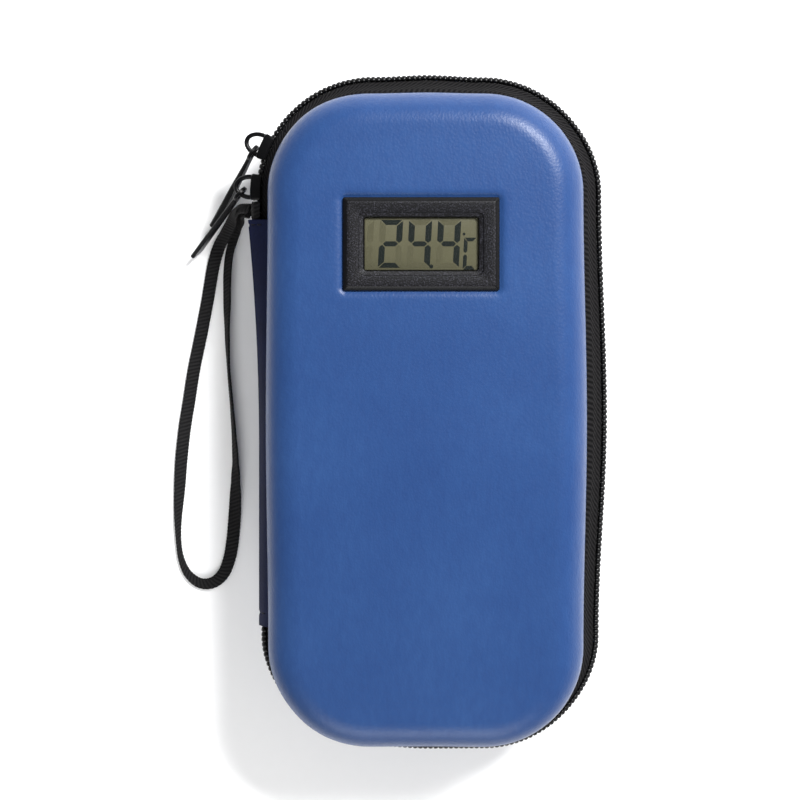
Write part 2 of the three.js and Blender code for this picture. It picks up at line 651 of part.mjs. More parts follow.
// Bezel: a chamfered frame standing proud, with a neck that drops into the hole
function makeBezel() {
  const ring = (width, length, z) => [
    new THREE.Vector3(-width / 2, -length / 2, z), new THREE.Vector3(width / 2, -length / 2, z),
    new THREE.Vector3(width / 2, length / 2, z), new THREE.Vector3(-width / 2, length / 2, z),
  ];
  const body = skin([
    ring(BEZEL_WIDTH, BEZEL_LENGTH, LAYER_GAP),
    ring(BEZEL_WIDTH, BEZEL_LENGTH, BEZEL_PROUD - BEZEL_CHAMFER / 2),
    ring(BEZEL_WIDTH - 2 * BEZEL_CHAMFER, BEZEL_LENGTH - 2 * BEZEL_CHAMFER, BEZEL_PROUD),
  ]);
  const neck = box(HOUSING_WIDTH, HOUSING_LENGTH, BEZEL_NECK, 0, 0, LAYER_GAP + BEZEL_SEAT_GAP - BEZEL_NECK / 2);
  const opening = box(WINDOW_WIDTH, WINDOW_LENGTH, 2 * HOUSING_DEPTH, 0, 0, 0);
  return cut(join(body, neck), opening);
}

const neckFloor = LAYER_GAP + BEZEL_SEAT_GAP - BEZEL_NECK;
const housingTop = neckFloor - LAYER_GAP;
const housingFloor = housingTop - HOUSING_DEPTH;
const windowTop = BEZEL_PROUD - WINDOW_RECESS;
const inner = HOUSING_WALL + LAYER_GAP;
const housing = cut(
  box(HOUSING_WIDTH, HOUSING_LENGTH, HOUSING_DEPTH, 0, 0, housingTop - HOUSING_DEPTH / 2),
  box(HOUSING_WIDTH - 2 * HOUSING_WALL, HOUSING_LENGTH - 2 * HOUSING_WALL, HOUSING_DEPTH,
    0, 0, housingTop - HOUSING_DEPTH / 2 + HOUSING_WALL),
  box(DOOR_WIDTH, DOOR_LENGTH, 4 * HOUSING_WALL, 0, 0, housingFloor),
);
addPiece("thermometer_bezel", makeBezel(), meterPlastic, meter);
addPiece("thermometer_housing", housing, meterPlastic, meter);
addPiece("lcd_window", box(
  WINDOW_WIDTH - 2 * LAYER_GAP, WINDOW_LENGTH - 2 * LAYER_GAP, WINDOW_THICKNESS,
  0, 0, windowTop - WINDOW_THICKNESS / 2,
), { color: 0xaab0a0, roughness: 0.15, metalness: 0 }, meter);
const lcdTop = housingTop - LAYER_GAP;
addPiece("lcd_panel", box(
  HOUSING_WIDTH - 2 * inner, HOUSING_LENGTH - 2 * inner, LCD_THICKNESS, 0, 0, lcdTop - LCD_THICKNESS / 2,
), { color: 0x6e6b52, roughness: 0.4, metalness: 0 }, meter);
const boardTop = lcdTop - LCD_THICKNESS - LAYER_GAP;
addPiece("circuit_board", box(
  HOUSING_WIDTH - 2 * inner, HOUSING_LENGTH - 2 * inner, BOARD_THICKNESS, 0, 0, boardTop - BOARD_THICKNESS / 2,
), { color: 0x1f5b3a, roughness: 0.6, metalness: 0 }, meter);
const cellTop = boardTop - BOARD_THICKNESS - LAYER_GAP;
for (const [index, side] of [-1, 1].entries()) {
  const cell = new THREE.CylinderGeometry(CELL_RADIUS, CELL_RADIUS, CELL_HEIGHT, 20);
  cell.rotateX(Math.PI / 2).translate(side * CELL_X, 0, cellTop - CELL_HEIGHT / 2);
  addPiece(`battery_cell_${index + 1}`, cell, { color: 0xb9babb, roughness: 0.3, metalness: 1 }, meter);
}
const sensor = new THREE.CylinderGeometry(SENSOR_RADIUS, SENSOR_RADIUS, SENSOR_HEIGHT, 12);
sensor.rotateX(Math.PI / 2).translate(SENSOR_X, 0, cellTop - SENSOR_HEIGHT / 2);
addPiece("temperature_sensor", sensor, { color: 0x111112, roughness: 0.4, metalness: 0 }, meter);
addPiece("battery_door", box(
  DOOR_WIDTH - 2 * LAYER_GAP, DOOR_LENGTH - 2 * LAYER_GAP, DOOR_THICKNESS,
  0, 0, housingFloor + DOOR_THICKNESS / 2,
), meterPlastic, meter);

// Elastic pen bands: flat between the loops, each loop an arch over a pen

function makeBand(y) {
  const lower = [];
  const upper = [];
  const flatZ = BACK_FLOOR_Z + LAYER_GAP;
  lower.push([-BAND_HALF_SPAN, flatZ]);
  upper.push([-BAND_HALF_SPAN, flatZ + BAND_THICKNESS]);
  for (const pen of [-1, 0, 1]) {
    for (let i = 0; i <= LOOP_STEPS; i++) {
      const angle = Math.PI * (1 - i / LOOP_STEPS);
      const rise = Math.sin(angle);
      const x = pen * PEN_PITCH + PEN_RADIUS * Math.cos(angle);
      lower.push([x, flatZ + LOOP_HEIGHT * rise]);
      const outerX = pen * PEN_PITCH + (PEN_RADIUS + BAND_THICKNESS) * Math.cos(angle);
      upper.push([outerX, flatZ + BAND_THICKNESS + LOOP_HEIGHT * rise]);
    }
  }
  lower.push([BAND_HALF_SPAN, flatZ]);
  upper.push([BAND_HALF_SPAN, flatZ + BAND_THICKNESS]);
  const points = [...lower, ...upper.reverse()].map(([x, z]) => new THREE.Vector2(x, z));
  const strip = new THREE.ExtrudeGeometry(new THREE.Shape(points), { depth: BAND_WIDTH, bevelEnabled: false });
  return strip.rotateX(Math.PI / 2).translate(0, y + BAND_WIDTH / 2, 0);
}

BAND_YS.forEach((y, index) => {
  addPiece(`pen_band_${index + 1}`, makeBand(y), { color: 0x17181a, roughness: 0.9, metalness: 0 });
});

// Gel pack, a pillow with thin welded edges, under the mesh pocket of the front shell

function makeGelPack() {
  const ring = (inset, z) => {
    const shape = roundedRectangle(
      -GEL_HALF_WIDTH + inset, GEL_FROM_Y + inset, GEL_HALF_WIDTH - inset, GEL_TO_Y - inset,
      Math.max(GEL_CORNER - inset, GEL_LEAST_CORNER),
    );
    return shape.getPoints(5).slice(0, -1).map((p) => new THREE.Vector3(p.x, p.y, z));
  };
  const top = FRONT_FLOOR_Z - LAYER_GAP;
  const middle = top - GEL_THICKNESS / 2;
  const rise = GEL_THICKNESS / 2;
  return skin([
    ring(GEL_EDGE * 4, middle - rise), ring(GEL_EDGE * 2, middle - rise + GEL_CROWN),
    ring(GEL_EDGE, middle - GEL_CROWN), ring(0, middle - GEL_CROWN / 2), ring(0, middle + GEL_CROWN / 2),
    ring(GEL_EDGE, middle + GEL_CROWN), ring(GEL_EDGE * 2, middle + rise - GEL_CROWN),
    ring(GEL_EDGE * 4, middle + rise),
  ]);
}

addPiece("gel_pack", makeGelPack(), { color: 0x8fb6cf, roughness: 0.3, metalness: 0 });
const pocket = new THREE.ExtrudeGeometry(
  roundedRectangle(-POCKET_HALF_WIDTH, POCKET_FROM_Y, POCKET_HALF_WIDTH, POCKET_TO_Y, POCKET_CORNER),
  { depth: POCKET_THICKNESS, bevelEnabled: false, curveSegments: 6 },
);
pocket.translate(0, 0, FRONT_FLOOR_Z - 2 * LAYER_GAP - GEL_THICKNESS - POCKET_THICKNESS);
addPiece("mesh_pocket", pocket, { color: 0x26272a, roughness: 0.9, metalness: 0 });

export default caseGroup;
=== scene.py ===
import math

import bmesh
import bpy
from mathutils import Matrix, Vector


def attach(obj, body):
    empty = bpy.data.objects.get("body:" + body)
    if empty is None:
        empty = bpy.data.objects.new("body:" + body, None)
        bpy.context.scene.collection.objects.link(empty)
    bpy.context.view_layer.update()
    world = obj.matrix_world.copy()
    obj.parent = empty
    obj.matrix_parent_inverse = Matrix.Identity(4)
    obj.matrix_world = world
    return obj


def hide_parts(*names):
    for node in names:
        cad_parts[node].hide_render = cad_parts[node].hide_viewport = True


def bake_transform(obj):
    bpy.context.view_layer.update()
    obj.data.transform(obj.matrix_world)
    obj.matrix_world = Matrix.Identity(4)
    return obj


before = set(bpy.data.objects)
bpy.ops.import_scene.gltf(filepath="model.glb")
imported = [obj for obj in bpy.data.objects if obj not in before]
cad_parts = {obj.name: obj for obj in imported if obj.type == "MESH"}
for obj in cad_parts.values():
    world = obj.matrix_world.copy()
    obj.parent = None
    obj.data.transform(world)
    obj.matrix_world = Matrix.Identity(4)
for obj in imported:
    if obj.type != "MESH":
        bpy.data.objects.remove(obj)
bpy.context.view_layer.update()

# Millimetres throughout; MM turns them into metres where a mesh is made
MM = 0.001

# Camera: looks straight down, its top towards +Y
CAMERA_PLACE = (7, 54.7, 493)
CAMERA_LENS = 64.8
CAMERA_SENSOR = 36
CAMERA_SHIFT = (-0.0625, -0.194)

# Outline of the shells
HALF_WIDTH = 48.8
HALF_LENGTH = 102.1
CORNER_RADIUS = 31
SIDE_BOW = 1.1
END_BOW = 0.3
ARC_X = HALF_WIDTH - CORNER_RADIUS
ARC_Y = HALF_LENGTH - CORNER_RADIUS
SEGMENTS = 8
ARC_STEPS = 20
SIDE_STEPS = 28

# Heights and layers
ZIP_Z = 27
RIM_GAP = 6.5
BACK_RIM_Z = ZIP_Z - RIM_GAP
FRONT_RIM_Z = ZIP_Z + RIM_GAP
BACK_FACE_Z = 0
FRONT_FACE_Z = 52
EDGE_FILLET = 8.5
FRONT_FILLET = 10.6
LEAST_FILLET = 1.5
RIM_FLARE = 0.7
SHELL_WALL = 3
FOAM_WALL = 3.2
LINING_WALL = 0.8
LAYER_GAP = 0.3
LAYER_SETBACK = 0.4

# Zip, and the ends of the spine that it runs between
SPINE_FROM_Y = -67.3
SPINE_TO_Y = 63
ZIP_END_GAP = 0.16
ZIP_FROM_Y = SPINE_FROM_Y - LAYER_GAP
ZIP_TO_Y = SPINE_TO_Y - ZIP_END_GAP
TAPE_ROOT = -2.4
TAPE_BEND = 0.4
TAPE_THICKNESS = 1
COIL_OUTER = 6
COIL_INNER = 4.2
TAPE_OUTER = COIL_INNER - LAYER_GAP
COIL_HALF_GAP = 0.01
COIL_HEIGHT = 2.9
# How far the coil stands out past the shells' outline, at each half step of u from 1 on
ZIP_BULGES = [-0.9, -2.4, -1.2, -0.6, -0.4, -0.5, 0.3, 1.9, 1.2, 0.5, 0.8, 1.2, 0.9, 0.8, 0.8, 0.8]
DEG = math.pi / 180
# Mesh points closer than this become one
MERGE_GAP = 0.0001
CURVE_STEPS = 20
# Angles from which the edges of a piece stay hard
CLOTH_SHARP = 50
SLIDER_SHARP = 32
PULL_SHARP = 30
BEZEL_SHARP = 25
GLASS_SHARP = 30


def add_camera():
    data = bpy.data.cameras.new("camera")
    data.sensor_width = CAMERA_SENSOR
    data.lens = CAMERA_LENS
    data.shift_x, data.shift_y = CAMERA_SHIFT
    camera = bpy.data.objects.new("camera", data)
    camera.location = Vector(CAMERA_PLACE) * MM
    bpy.context.scene.collection.objects.link(camera)
    bpy.context.scene.camera = camera


add_camera()


# Mesh helpers

def metres(place):
    return tuple(c * MM for c in place)


def make_object(name, points, faces, uvs=None, smooth=True):
    """A mesh object from points in millimetres; uvs holds one pair per point."""
    mesh = bpy.data.meshes.new(name)
    mesh.from_pydata([metres(p) for p in points], [], faces)
    if uvs:
        layer = mesh.uv_layers.new(name="UVMap")
        for loop in mesh.loops:
            layer.data[loop.index].uv = uvs[loop.vertex_index]
    mesh.polygons.foreach_set("use_smooth", [smooth] * len(mesh.polygons))
    mesh.update()
    made = bpy.data.objects.new(name, mesh)
    bpy.context.scene.collection.objects.link(made)
    return made


def face_out(made):
    """Turns every face of a closed mesh outwards."""
    work = bmesh.new()
    work.from_mesh(made.data)
    bmesh.ops.remove_doubles(work, verts=work.verts, dist=MERGE_GAP * MM)
    bmesh.ops.recalc_face_normals(work, faces=work.faces)
    work.to_mesh(made.data)
    work.free()
    return made


def skin(first, rows, sides, closed=False):
    """Faces between equal rings of points that follow on from first, capped where the skin is open."""
    faces = []
    for row in range(rows if closed else rows - 1):
        here = first + row * sides
        there = first + (row + 1) % rows * sides
        for k in range(sides):
            j = (k + 1) % sides
            faces.append((here + k, here + j, there + j, there + k))
    if not closed:
        last = first + (rows - 1) * sides
        faces.append(tuple(first + k for k in range(sides - 1, -1, -1)))
        faces.append(tuple(last + k for k in range(sides)))
    return faces


def loft(name, rings, closed=False, uvs=None, sharp=None):
    """Joins equal rings of points into a solid; sharp is the angle from which its edges stay hard."""
    points = [p for ring in rings for p in ring]
    flat_uvs = [uv for row in uvs for uv in row] if uvs else None
    made = face_out(make_object(name, points, skin(0, len(rings), len(rings[0]), closed), flat_uvs))
    if sharp:
        made.data.set_sharp_from_angle(angle=sharp * DEG)
    return made


def dress(made, body, material, slot, *replaced):
    made.data.materials.clear()
    made.data.materials.append(material)
    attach(made, body)
    if replaced:
        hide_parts(*replaced)
    return made


def runs_along(line):
    """How far along a line each of its points lies."""
    runs = [0]
    for a, b in zip(line, line[1:]):
        runs.append(runs[-1] + (b - a).length)
    return runs


def even_places(line, steps):
    """Where even steps along a line fall: the point before each, and its share of the way on."""
    runs = runs_along(line)
    places = []
    k = 0
    for i in range(steps + 1):
        want = runs[-1] * i / steps
        while k < len(line) - 2 and runs[k + 1] < want:
            k += 1
        share = (want - runs[k]) / (runs[k + 1] - runs[k])
        places.append((k, min(max(share, 0), 1)))
    return places


def resampled(line, steps):
    return [line[k].lerp(line[k + 1], share) for k, share in even_places(line, steps)]


def heading(line, i):
    """The direction of a line at one of its points."""
    return (line[min(i + 1, len(line) - 1)] - line[max(i - 1, 0)]).normalized()


def curve_through(route, steps):
    """Points evenly spaced along a centripetal Catmull-Rom curve through a route."""
    knots = [Vector(p) for p in route]
    ends = [2 * knots[0] - knots[1], *knots, 2 * knots[-1] - knots[-2]]
    dense = []

    def between(a, b, start, end, t):
        return a * ((end - t) / (end - start)) + b * ((t - start) / (end - start))

    for i in range(1, len(ends) - 2):
        near = ends[i - 1:i + 3]
        times = [0]
        for a, b in zip(near, near[1:]):
            times.append(times[-1] + (b - a).length ** 0.5)
        for k in range(CURVE_STEPS):
            t = times[1] + (times[2] - times[1]) * k / CURVE_STEPS
            lines = [between(near[n], near[n + 1], times[n], times[n + 1], t) for n in range(3)]
            bends = [between(lines[n], lines[n + 1], times[n], times[n + 2], t) for n in range(2)]
            dense.append(between(*bends, times[1], times[2], t))
    dense.append(knots[-1])
    return resampled(dense, steps)


def eased(t, low, high):
    share = min(max((t - low) / (high - low), 0), 1)
    return share * share * (3 - 2 * share)


def eased_between(values, place):
    """The value at a place in a table that runs round."""
    step = math.floor(place)
    blend = (1 - math.cos((place - step) * math.pi)) / 2
    return values[step % len(values)] * (1 - blend) + values[(step + 1) % len(values)] * blend


def squared(value, power):
    """A sine or cosine that makes a round section squarer."""
    return math.copysign(abs(value) ** power, value)


def corner_arcs(half_x, half_y, radius, steps):
    """Points on a rounded rectangle's corners, anticlockwise from the lower right one."""
    arcs = []
    for quarter, (side_x, side_y) in enumerate(((1, -1), (1, 1), (-1, 1), (-1, -1))):
        arc = []
        for k in range(steps + 1):
            angle = (quarter - 1 + k / steps) * math.pi / 2
            x = side_x * (half_x - radius) + radius * math.cos(angle)
            arc.append((x, side_y * (half_y - radius) + radius * math.sin(angle)))
        arcs.append(arc)
    return arcs


# Material helpers

class Look:
    """A Principled material with a few node helpers."""

    def __init__(self, name, roughness, **sockets):
        self.material = bpy.data.materials.new(name)
        self.material.use_nodes = True
        self.tree = self.material.node_tree
        self.shader = self.tree.nodes["Principled BSDF"]
        self.shader.inputs["Roughness"].default_value = roughness
        for socket, value in sockets.items():
            self.shader.inputs[socket.replace("_", " ")].default_value = value

    def node(self, kind, inputs=(), **settings):
        made = self.tree.nodes.new(kind)
        for key, value in settings.items():
            setattr(made, key, value)
        for socket, value in dict(inputs).items():
            if isinstance(value, bpy.types.NodeSocket):
                self.tree.links.new(value, made.inputs[socket])
            else:
                made.inputs[socket].default_value = value
        return made

    def coords(self, kind="Object", scale=(1, 1, 1), turn=0):
        source = self.node("ShaderNodeTexCoord").outputs[kind]
        placing = {"Vector": source, "Scale": scale, "Rotation": (0, 0, turn * DEG)}
        return self.node("ShaderNodeMapping", placing).outputs["Vector"]

    def noise(self, vector, scale, detail=2, roughness=0.5):
        settings = {"Vector": vector, "Scale": scale, "Detail": detail, "Roughness": roughness}
        return self.node("ShaderNodeTexNoise", settings).outputs["Fac"]

    def voronoi(self, vector, scale, feature="F1"):
        settings = {"Vector": vector, "Scale": scale}
        return self.node("ShaderNodeTexVoronoi", settings, feature=feature).outputs["Distance"]

    def wave(self, vector, scale, distortion=0, direction="X", detail=0):
        settings = {"Vector": vector, "Scale": scale, "Distortion": distortion, "Detail": detail}
        return self.node("ShaderNodeTexWave", settings, bands_direction=direction).outputs["Fac"]

    def maths(self, operation, a, b):
        return self.node("ShaderNodeMath", {0: a, 1: b}, operation=operation).outputs[0]

    def mix(self, a, share_a, b, share_b):
        """Two patterns added up, each by its share."""
        return self.maths("ADD", self.maths("MULTIPLY", a, share_a), self.maths("MULTIPLY", b, share_b))

    def ramp(self, fac, stops):
        made = self.node("ShaderNodeValToRGB", {"Fac": fac})
        elements = made.color_ramp.elements
        while len(elements) < len(stops):
            elements.new(0.5)
        for element, (position, colour) in zip(elements, stops):
            element.position = position
            element.color = (*colour, 1)
        return made.outputs["Color"]

    def spread(self, fac, low, high, start=0.0, end=1.0):
        ranges = {"Value": fac, "From Min": start, "From Max": end, "To Min": low, "To Max": high}
        return self.node("ShaderNodeMapRange", ranges).outputs["Result"]

    def bump(self, height, distance, strength=1.0, under=None):
        inputs = {"Height": height, "Distance": distance * MM, "Strength": strength}
        if under is not None:
            inputs["Normal"] = under
        made = self.node("ShaderNodeBump", inputs)
        self.tree.links.new(made.outputs["Normal"], self.shader.inputs["Normal"])
        return made.outputs["Normal"]

    def finished(self, tone, stops, rough, *bumps):
        """Gives the material its colour along a tone, its roughness, and bumps laid over one another."""
        colours = self.ramp(tone, [(place, linear(*colour)) for place, colour in stops])
        self.tree.links.new(colours, self.shader.inputs["Base Color"])
        self.tree.links.new(self.spread(*rough), self.shader.inputs["Roughness"])
        under = None
        for bump in bumps:
            under = self.bump(*bump, under)
        return self.material


def plain_material(name, grain, stops, rough, bump=None, roughness=0.5, **sockets):
    """A material whose colour, roughness and bump all follow one noise."""
    look = Look(name, roughness, **sockets)
    noise = look.noise(look.coords(), *grain)
    return look.finished(noise, stops, (noise, *rough), *([(noise, *bump)] if bump else []))


def linear(*colour):
    """A colour read as eight-bit screen values, turned to linear light."""
    shares = [c / 255 for c in colour]
    return tuple(c / 12.92 if c <= 0.04045 else ((c + 0.055) / 1.055) ** 2.4 for c in shares)


# Wrist strap, a woven band laid beside the case: its route from the zip's end and back

STRAP_WIDTH = 4.3
STRAP_THICKNESS = 1
STRAP_STEPS = 1100
STRAP_SECTION = 12
STRAP_RIB_PITCH = 1.2
STRAP_RIB_DEPTH = 0.1
STRAP_RIB_LEAN = 0.6
STRAP_EDGE_SHARE = 0.025
STRAP_EDGE_POWERS = (0.7, 0.35)
# Where the band is turned over on itself: the route's point, half its length, and shares
FOLD_KNOT = 17
FOLD_HALF = 15
FOLD_NARROW_SHARE = 0.58
FOLD_THICK_SHARE = 0.45
# Each point of the route, with the degrees that the band is rolled about it
STRAP_ROUTE = [
    (-57.8, 66.4, 26.8, 40), (-59.4, 66.5, 25.6, 48), (-61.5, 66.3, 22.6, 46), (-63.6, 65.3, 17, 38),
    (-65.2, 63.9, 12, 26), (-66.8, 61.6, 8, 12), (-69, 58.4, 4.7, 10), (-71.5, 54.6, 2, 4),
    (-73.6, 48.5, 0.9, 0), (-75.8, 35.9, 0.8, 4), (-78.4, 22.2, 0.9, 4), (-80.5, 12, 0.9, 4),
    (-82.1, 1.7, 0.9, 4), (-83.7, -8.5, 0.9, 4), (-84.8, -18.8, 0.9, 4), (-85.4, -29, 0.9, 4),
    (-85.9, -39.3, 0.9, 2), (-85.6, -47.8, 0.8, 0), (-84.7, -53, 0.8, 0),
    (-82.4, -57.9, 0.8, 0), (-78.4, -60.9, 0.8, 0), (-74.2, -60.8, 0.8, 0), (-70.6, -57.9, 0.8, 0),
    (-68.5, -53, 0.8, 0), (-67.5, -47.8, 0.8, 0), (-66.8, -41, 0.8, 0), (-66.3, -32.5, 1.3, -20),
    (-66.1, -25.6, 1.9, -42), (-66.1, -18.8, 2.2, -58), (-66.7, -8.5, 2.3, -68), (-67.5, 1.7, 2.3, -74),
    (-68.4, 12, 2.3, -76), (-68.9, 23.9, 2.3, -66), (-69, 35.9, 2.1, -52), (-68.9, 44.8, 1.9, -48),
    (-68.2, 51.5, 2, -48), (-66.6, 56.8, 2.8, -44), (-65.1, 60.6, 5, -34), (-63.4, 63, 9, -30),
    (-61.8, 64.7, 13.6, -38), (-60.2, 65, 18.4, -46), (-59.1, 65, 22.6, -48), (-57.6, 64.9, 24, -40),
]


def strap_material():
    look = Look("woven_strap", 0.8, Specular_IOR_Level=0.2)
    ribs = look.wave(look.coords("UV", turn=24), 0.262, 0.5, "Y")
    yarn = look.wave(look.coords("UV", turn=-38), 0.9, 0.8, "Y")
    fray = look.noise(look.coords("UV"), 2.2, 3, 0.7)
    weave = look.mix(ribs, 0.5, yarn, 0.28)
    tone = look.maths("ADD", weave, look.maths("MULTIPLY", fray, 0.25))
    return look.finished(tone, [(0.25, (0, 0, 1)), (0.85, (28, 27, 28))], (tone, 0.9, 0.68), (tone, 0.18, 1))


def strap_section():
    """Half-rounded edges and a slightly ridged face, as pairs of shares."""
    angles = [math.pi * i / STRAP_SECTION for i in range(2 * STRAP_SECTION)]
    wide, tall = STRAP_EDGE_POWERS
    return [(squared(math.cos(angle), wide), squared(math.sin(angle), tall)) for angle in angles]


def rolls_along(centres):
    """The band's roll at each centre, eased between the route's points, and each point's place."""
    marks = []
    for knot in STRAP_ROUTE:
        marks.append(min(range(len(centres)), key=lambda i: (centres[i] - Vector(knot[:3])).length))
    rolls = []
    for i in range(len(centres)):
        k = max(n for n, mark in enumerate(marks[:-1]) if mark <= i)
        share = eased(i, marks[k], marks[k + 1])
        rolls.append((STRAP_ROUTE[k][3] * (1 - share) + STRAP_ROUTE[k + 1][3] * share) * DEG)
    return rolls, marks


def make_strap():
    centres = curve_through([knot[:3] for knot in STRAP_ROUTE], STRAP_STEPS)
    rolls, marks = rolls_along(centres)
    length = runs_along(centres)[-1]
    up = Vector((0, 0, 1))
    rings = []
    uvs = []
    for i, centre in enumerate(centres):
        tangent = heading(centres, i)
        run = length * i / STRAP_STEPS
        turn = Matrix.Rotation(rolls[i], 3, tangent)
        level = up.cross(tangent).normalized()
        across = turn @ level
        over = turn @ tangent.cross(level)
        away = (run - length * marks[FOLD_KNOT] / STRAP_STEPS) / FOLD_HALF
        fold = math.exp(-away ** 2)
        serration = STRAP_EDGE_SHARE * math.cos(math.tau * run / STRAP_RIB_PITCH)
        half = STRAP_WIDTH / 2 * (1 - FOLD_NARROW_SHARE * fold + serration)
        thick = STRAP_THICKNESS / 2 * (1 + FOLD_THICK_SHARE * fold)
        lift = up * (thick - STRAP_THICKNESS / 2)
        ring = []
        row = []
        for a, b in strap_section():
            rib = math.cos(math.tau * (run / STRAP_RIB_PITCH + STRAP_RIB_LEAN * a)) - 1
            ring.append(centre + lift + across * (a * half) + over * b * (thick + rib * STRAP_RIB_DEPTH / 2))
            row.append((a * STRAP_WIDTH / 2, run))
        rings.append(ring)
        uvs.append(row)
    strap = dress(loft("strap", rings, uvs=uvs), "base", strap_material(), "strap", "wrist_strap")


make_strap()


# Outline of the case

def rounded_at(u, half_x, half_y, radius, bow_x=0, bow_y=0):
    """A place on a rounded rectangle with bowed sides, anticlockwise from the upper end of its left side.

    Each whole number of u starts the next side or corner: left, corner, bottom, corner, and so on.
    """
    segment = math.floor(u) % SEGMENTS
    part = u - math.floor(u)
    facing = math.pi + math.floor(segment / 2) * math.pi / 2
    if segment % 2 == 1:
        angle = facing + part * math.pi / 2
        middle = facing + math.pi / 4
        centre_x = math.copysign(half_x - radius, math.cos(middle))
        centre_y = math.copysign(half_y - radius, math.sin(middle))
        return centre_x + radius * math.cos(angle), centre_y + radius * math.sin(angle)
    normal_x = round(math.cos(facing))
    normal_y = round(math.sin(facing))
    half_run = (half_x if normal_y else half_y) - radius
    run = (2 * part - 1) * half_run
    bow = (bow_y if normal_y else bow_x) * math.cos(run / half_run * math.pi / 2) ** 2
    return normal_x * (half_x + bow) - normal_y * run, normal_y * (half_y + bow) + normal_x * run


def outline_at(u, offset):
    radius = CORNER_RADIUS + offset
    return rounded_at(u, HALF_WIDTH + offset, HALF_LENGTH + offset, radius, SIDE_BOW, END_BOW)


def outline_knots():
    knots = []
    for segment in range(SEGMENTS):
        steps = ARC_STEPS if segment % 2 == 1 else SIDE_STEPS
        knots.extend(segment + i / steps for i in range(steps))
    return knots


KNOTS = outline_knots()


def outline_ring(offset, z):
    return [(*outline_at(u, offset), z) for u in KNOTS]


def bulge_at(u):
    return eased_between(ZIP_BULGES, min(max(2 * (u - 1), 0), len(ZIP_BULGES) - 1))


def left_u(y):
    return (ARC_Y - y) / (2 * ARC_Y)


# Shells: leather over foam board, the front one pressed in round the thermometer

FILLET_STEPS = 18
FACE_STEPS = 9
WALL_STEPS = 4
RIM_ROUND = 0.5
RIM_STEPS = 8
FACE_CROWN = 0.3
FACE_CROWN_POWER = 0.75
# How far the front shell stands out past the outline, at each half step of u
SWELLS = [1.3, 0.8, 1.1, 0.4, 0, -0.4, 0, 0, 0, 0, 0, 0, 0, 0, 0, 1]
SWELL_RISE = 5
SWELL_FADE = 14
METER_X = -1.8
METER_Y = 55
BEZEL_WIDTH = 48
BEZEL_LENGTH = 28.6
HOUSING_WIDTH = 45.4
CUTOUT_GAP = 0.4
LIP_DROP = 0.85
LIP_STEPS = [(0, 1.0), (0.25, 0.93), (0.6, 0.72), (1.0, 0.45), (1.4, 0.24), (1.9, 0.1), (2.6, 0.02), (3.6, 0)]
LIP_CORNER = 1.2
LIP_LEAST_CORNER = 0.3
# How far the middle of a flat face reaches, as a share of its width
CORE_SHARE = 0.4
FOAM_INSET = SHELL_WALL + LAYER_GAP
LINING_INSET = FOAM_INSET + FOAM_WALL + LAYER_GAP
SHELLS = (("back", "base", BACK_RIM_Z, BACK_FACE_Z), ("front", "lid", FRONT_RIM_Z, FRONT_FACE_Z))


def leather_material():
    look = Look("leather", 0.4, Specular_IOR_Level=0.21)
    place = look.coords()
    pebble = look.voronoi(look.coords(scale=(1, 0.82, 1)), 1500, "SMOOTH_F1")
    pore = look.noise(place, 2600, 3, 0.6)
    streak = look.noise(look.coords(scale=(1, 0.36, 1), turn=24), 620, 4, 0.6)
    cloud = look.noise(place, 26, 3, 0.55)
    stops = [(0.25, (23, 48, 91)), (0.5, (28, 54, 97)), (0.75, (34, 61, 104))]
    rough = (look.maths("ADD", pebble, streak), 0.46, 0.35, 0.4, 1.3)
    grain = (look.mix(pebble, 0.7, pore, 0.3), 0.09, 0.8)
    return look.finished(look.mix(cloud, 0.55, streak, 0.45), stops, rough, grain, (streak, 0.05, 0.6))


LEATHER = leather_material()


def wall_line(face_z, rim, depth, fillet=EDGE_FILLET):
    """Offsets and heights of a tray's side from its face to its rim."""
    inward = math.copysign(1, rim - face_z)
    radius = max(fillet - depth, LEAST_FILLET)
    floor = face_z + inward * depth
    line = []
    for i in range(FILLET_STEPS + 1):
        angle = i / FILLET_STEPS * math.pi / 2
        turned = floor + inward * radius * (1 - math.cos(angle))
        line.append((-depth - radius * (1 - math.sin(angle)), turned))
    top = line[-1][1]
    for i in range(1, WALL_STEPS + 1):
        line.append((RIM_FLARE * i / WALL_STEPS - depth, top + (rim - top) * i / WALL_STEPS))
    return line


def hole_ring(inset, z):
    """The thermometer's rounded rectangle, widened by inset and matched to the outline's knots."""
    radius = max(LIP_CORNER + inset, LIP_LEAST_CORNER)
    places = [rounded_at(u, BEZEL_WIDTH / 2 + inset, BEZEL_LENGTH / 2 + inset, radius) for u in KNOTS]
    return [(METER_X + x, METER_Y + y, z) for x, y in places]


def crown_at(x, y):
    across = max(1 - (x / (HALF_WIDTH - FRONT_FILLET)) ** 2, 0)
    along = max(1 - (y / (HALF_LENGTH - FRONT_FILLET)) ** 2, 0)
    return FACE_CROWN * (across * along) ** FACE_CROWN_POWER


def crowned(ring):
    return [(x, y, z + crown_at(x, y)) for x, y, z in ring]


def blend_rings(a, b, share):
    return [tuple(p + (q - p) * share for p, q in zip(u, v)) for u, v in zip(a, b)]


def rounded_rim(outer, inner, rim, inward):
    """A half-round edge between the last points of two wall lines."""
    middle = (outer + inner) / 2
    half = (outer - inner) / 2
    line = []
    for i in range(1, RIM_STEPS):
        angle = math.pi * i / RIM_STEPS
        line.append((middle + half * math.cos(angle), rim + inward * RIM_ROUND * math.sin(angle)))
    return line


def swelled(u, offset, z):
    """A point of the front shell's outside, fuller than the outline where the photo shows it."""
    swell = eased_between(SWELLS, 2 * u)
    rise = eased(z, FRONT_RIM_Z, FRONT_RIM_Z + SWELL_RISE)
    return (*outline_at(u, offset + swell * rise * eased(offset, -SWELL_FADE, 0)), z)


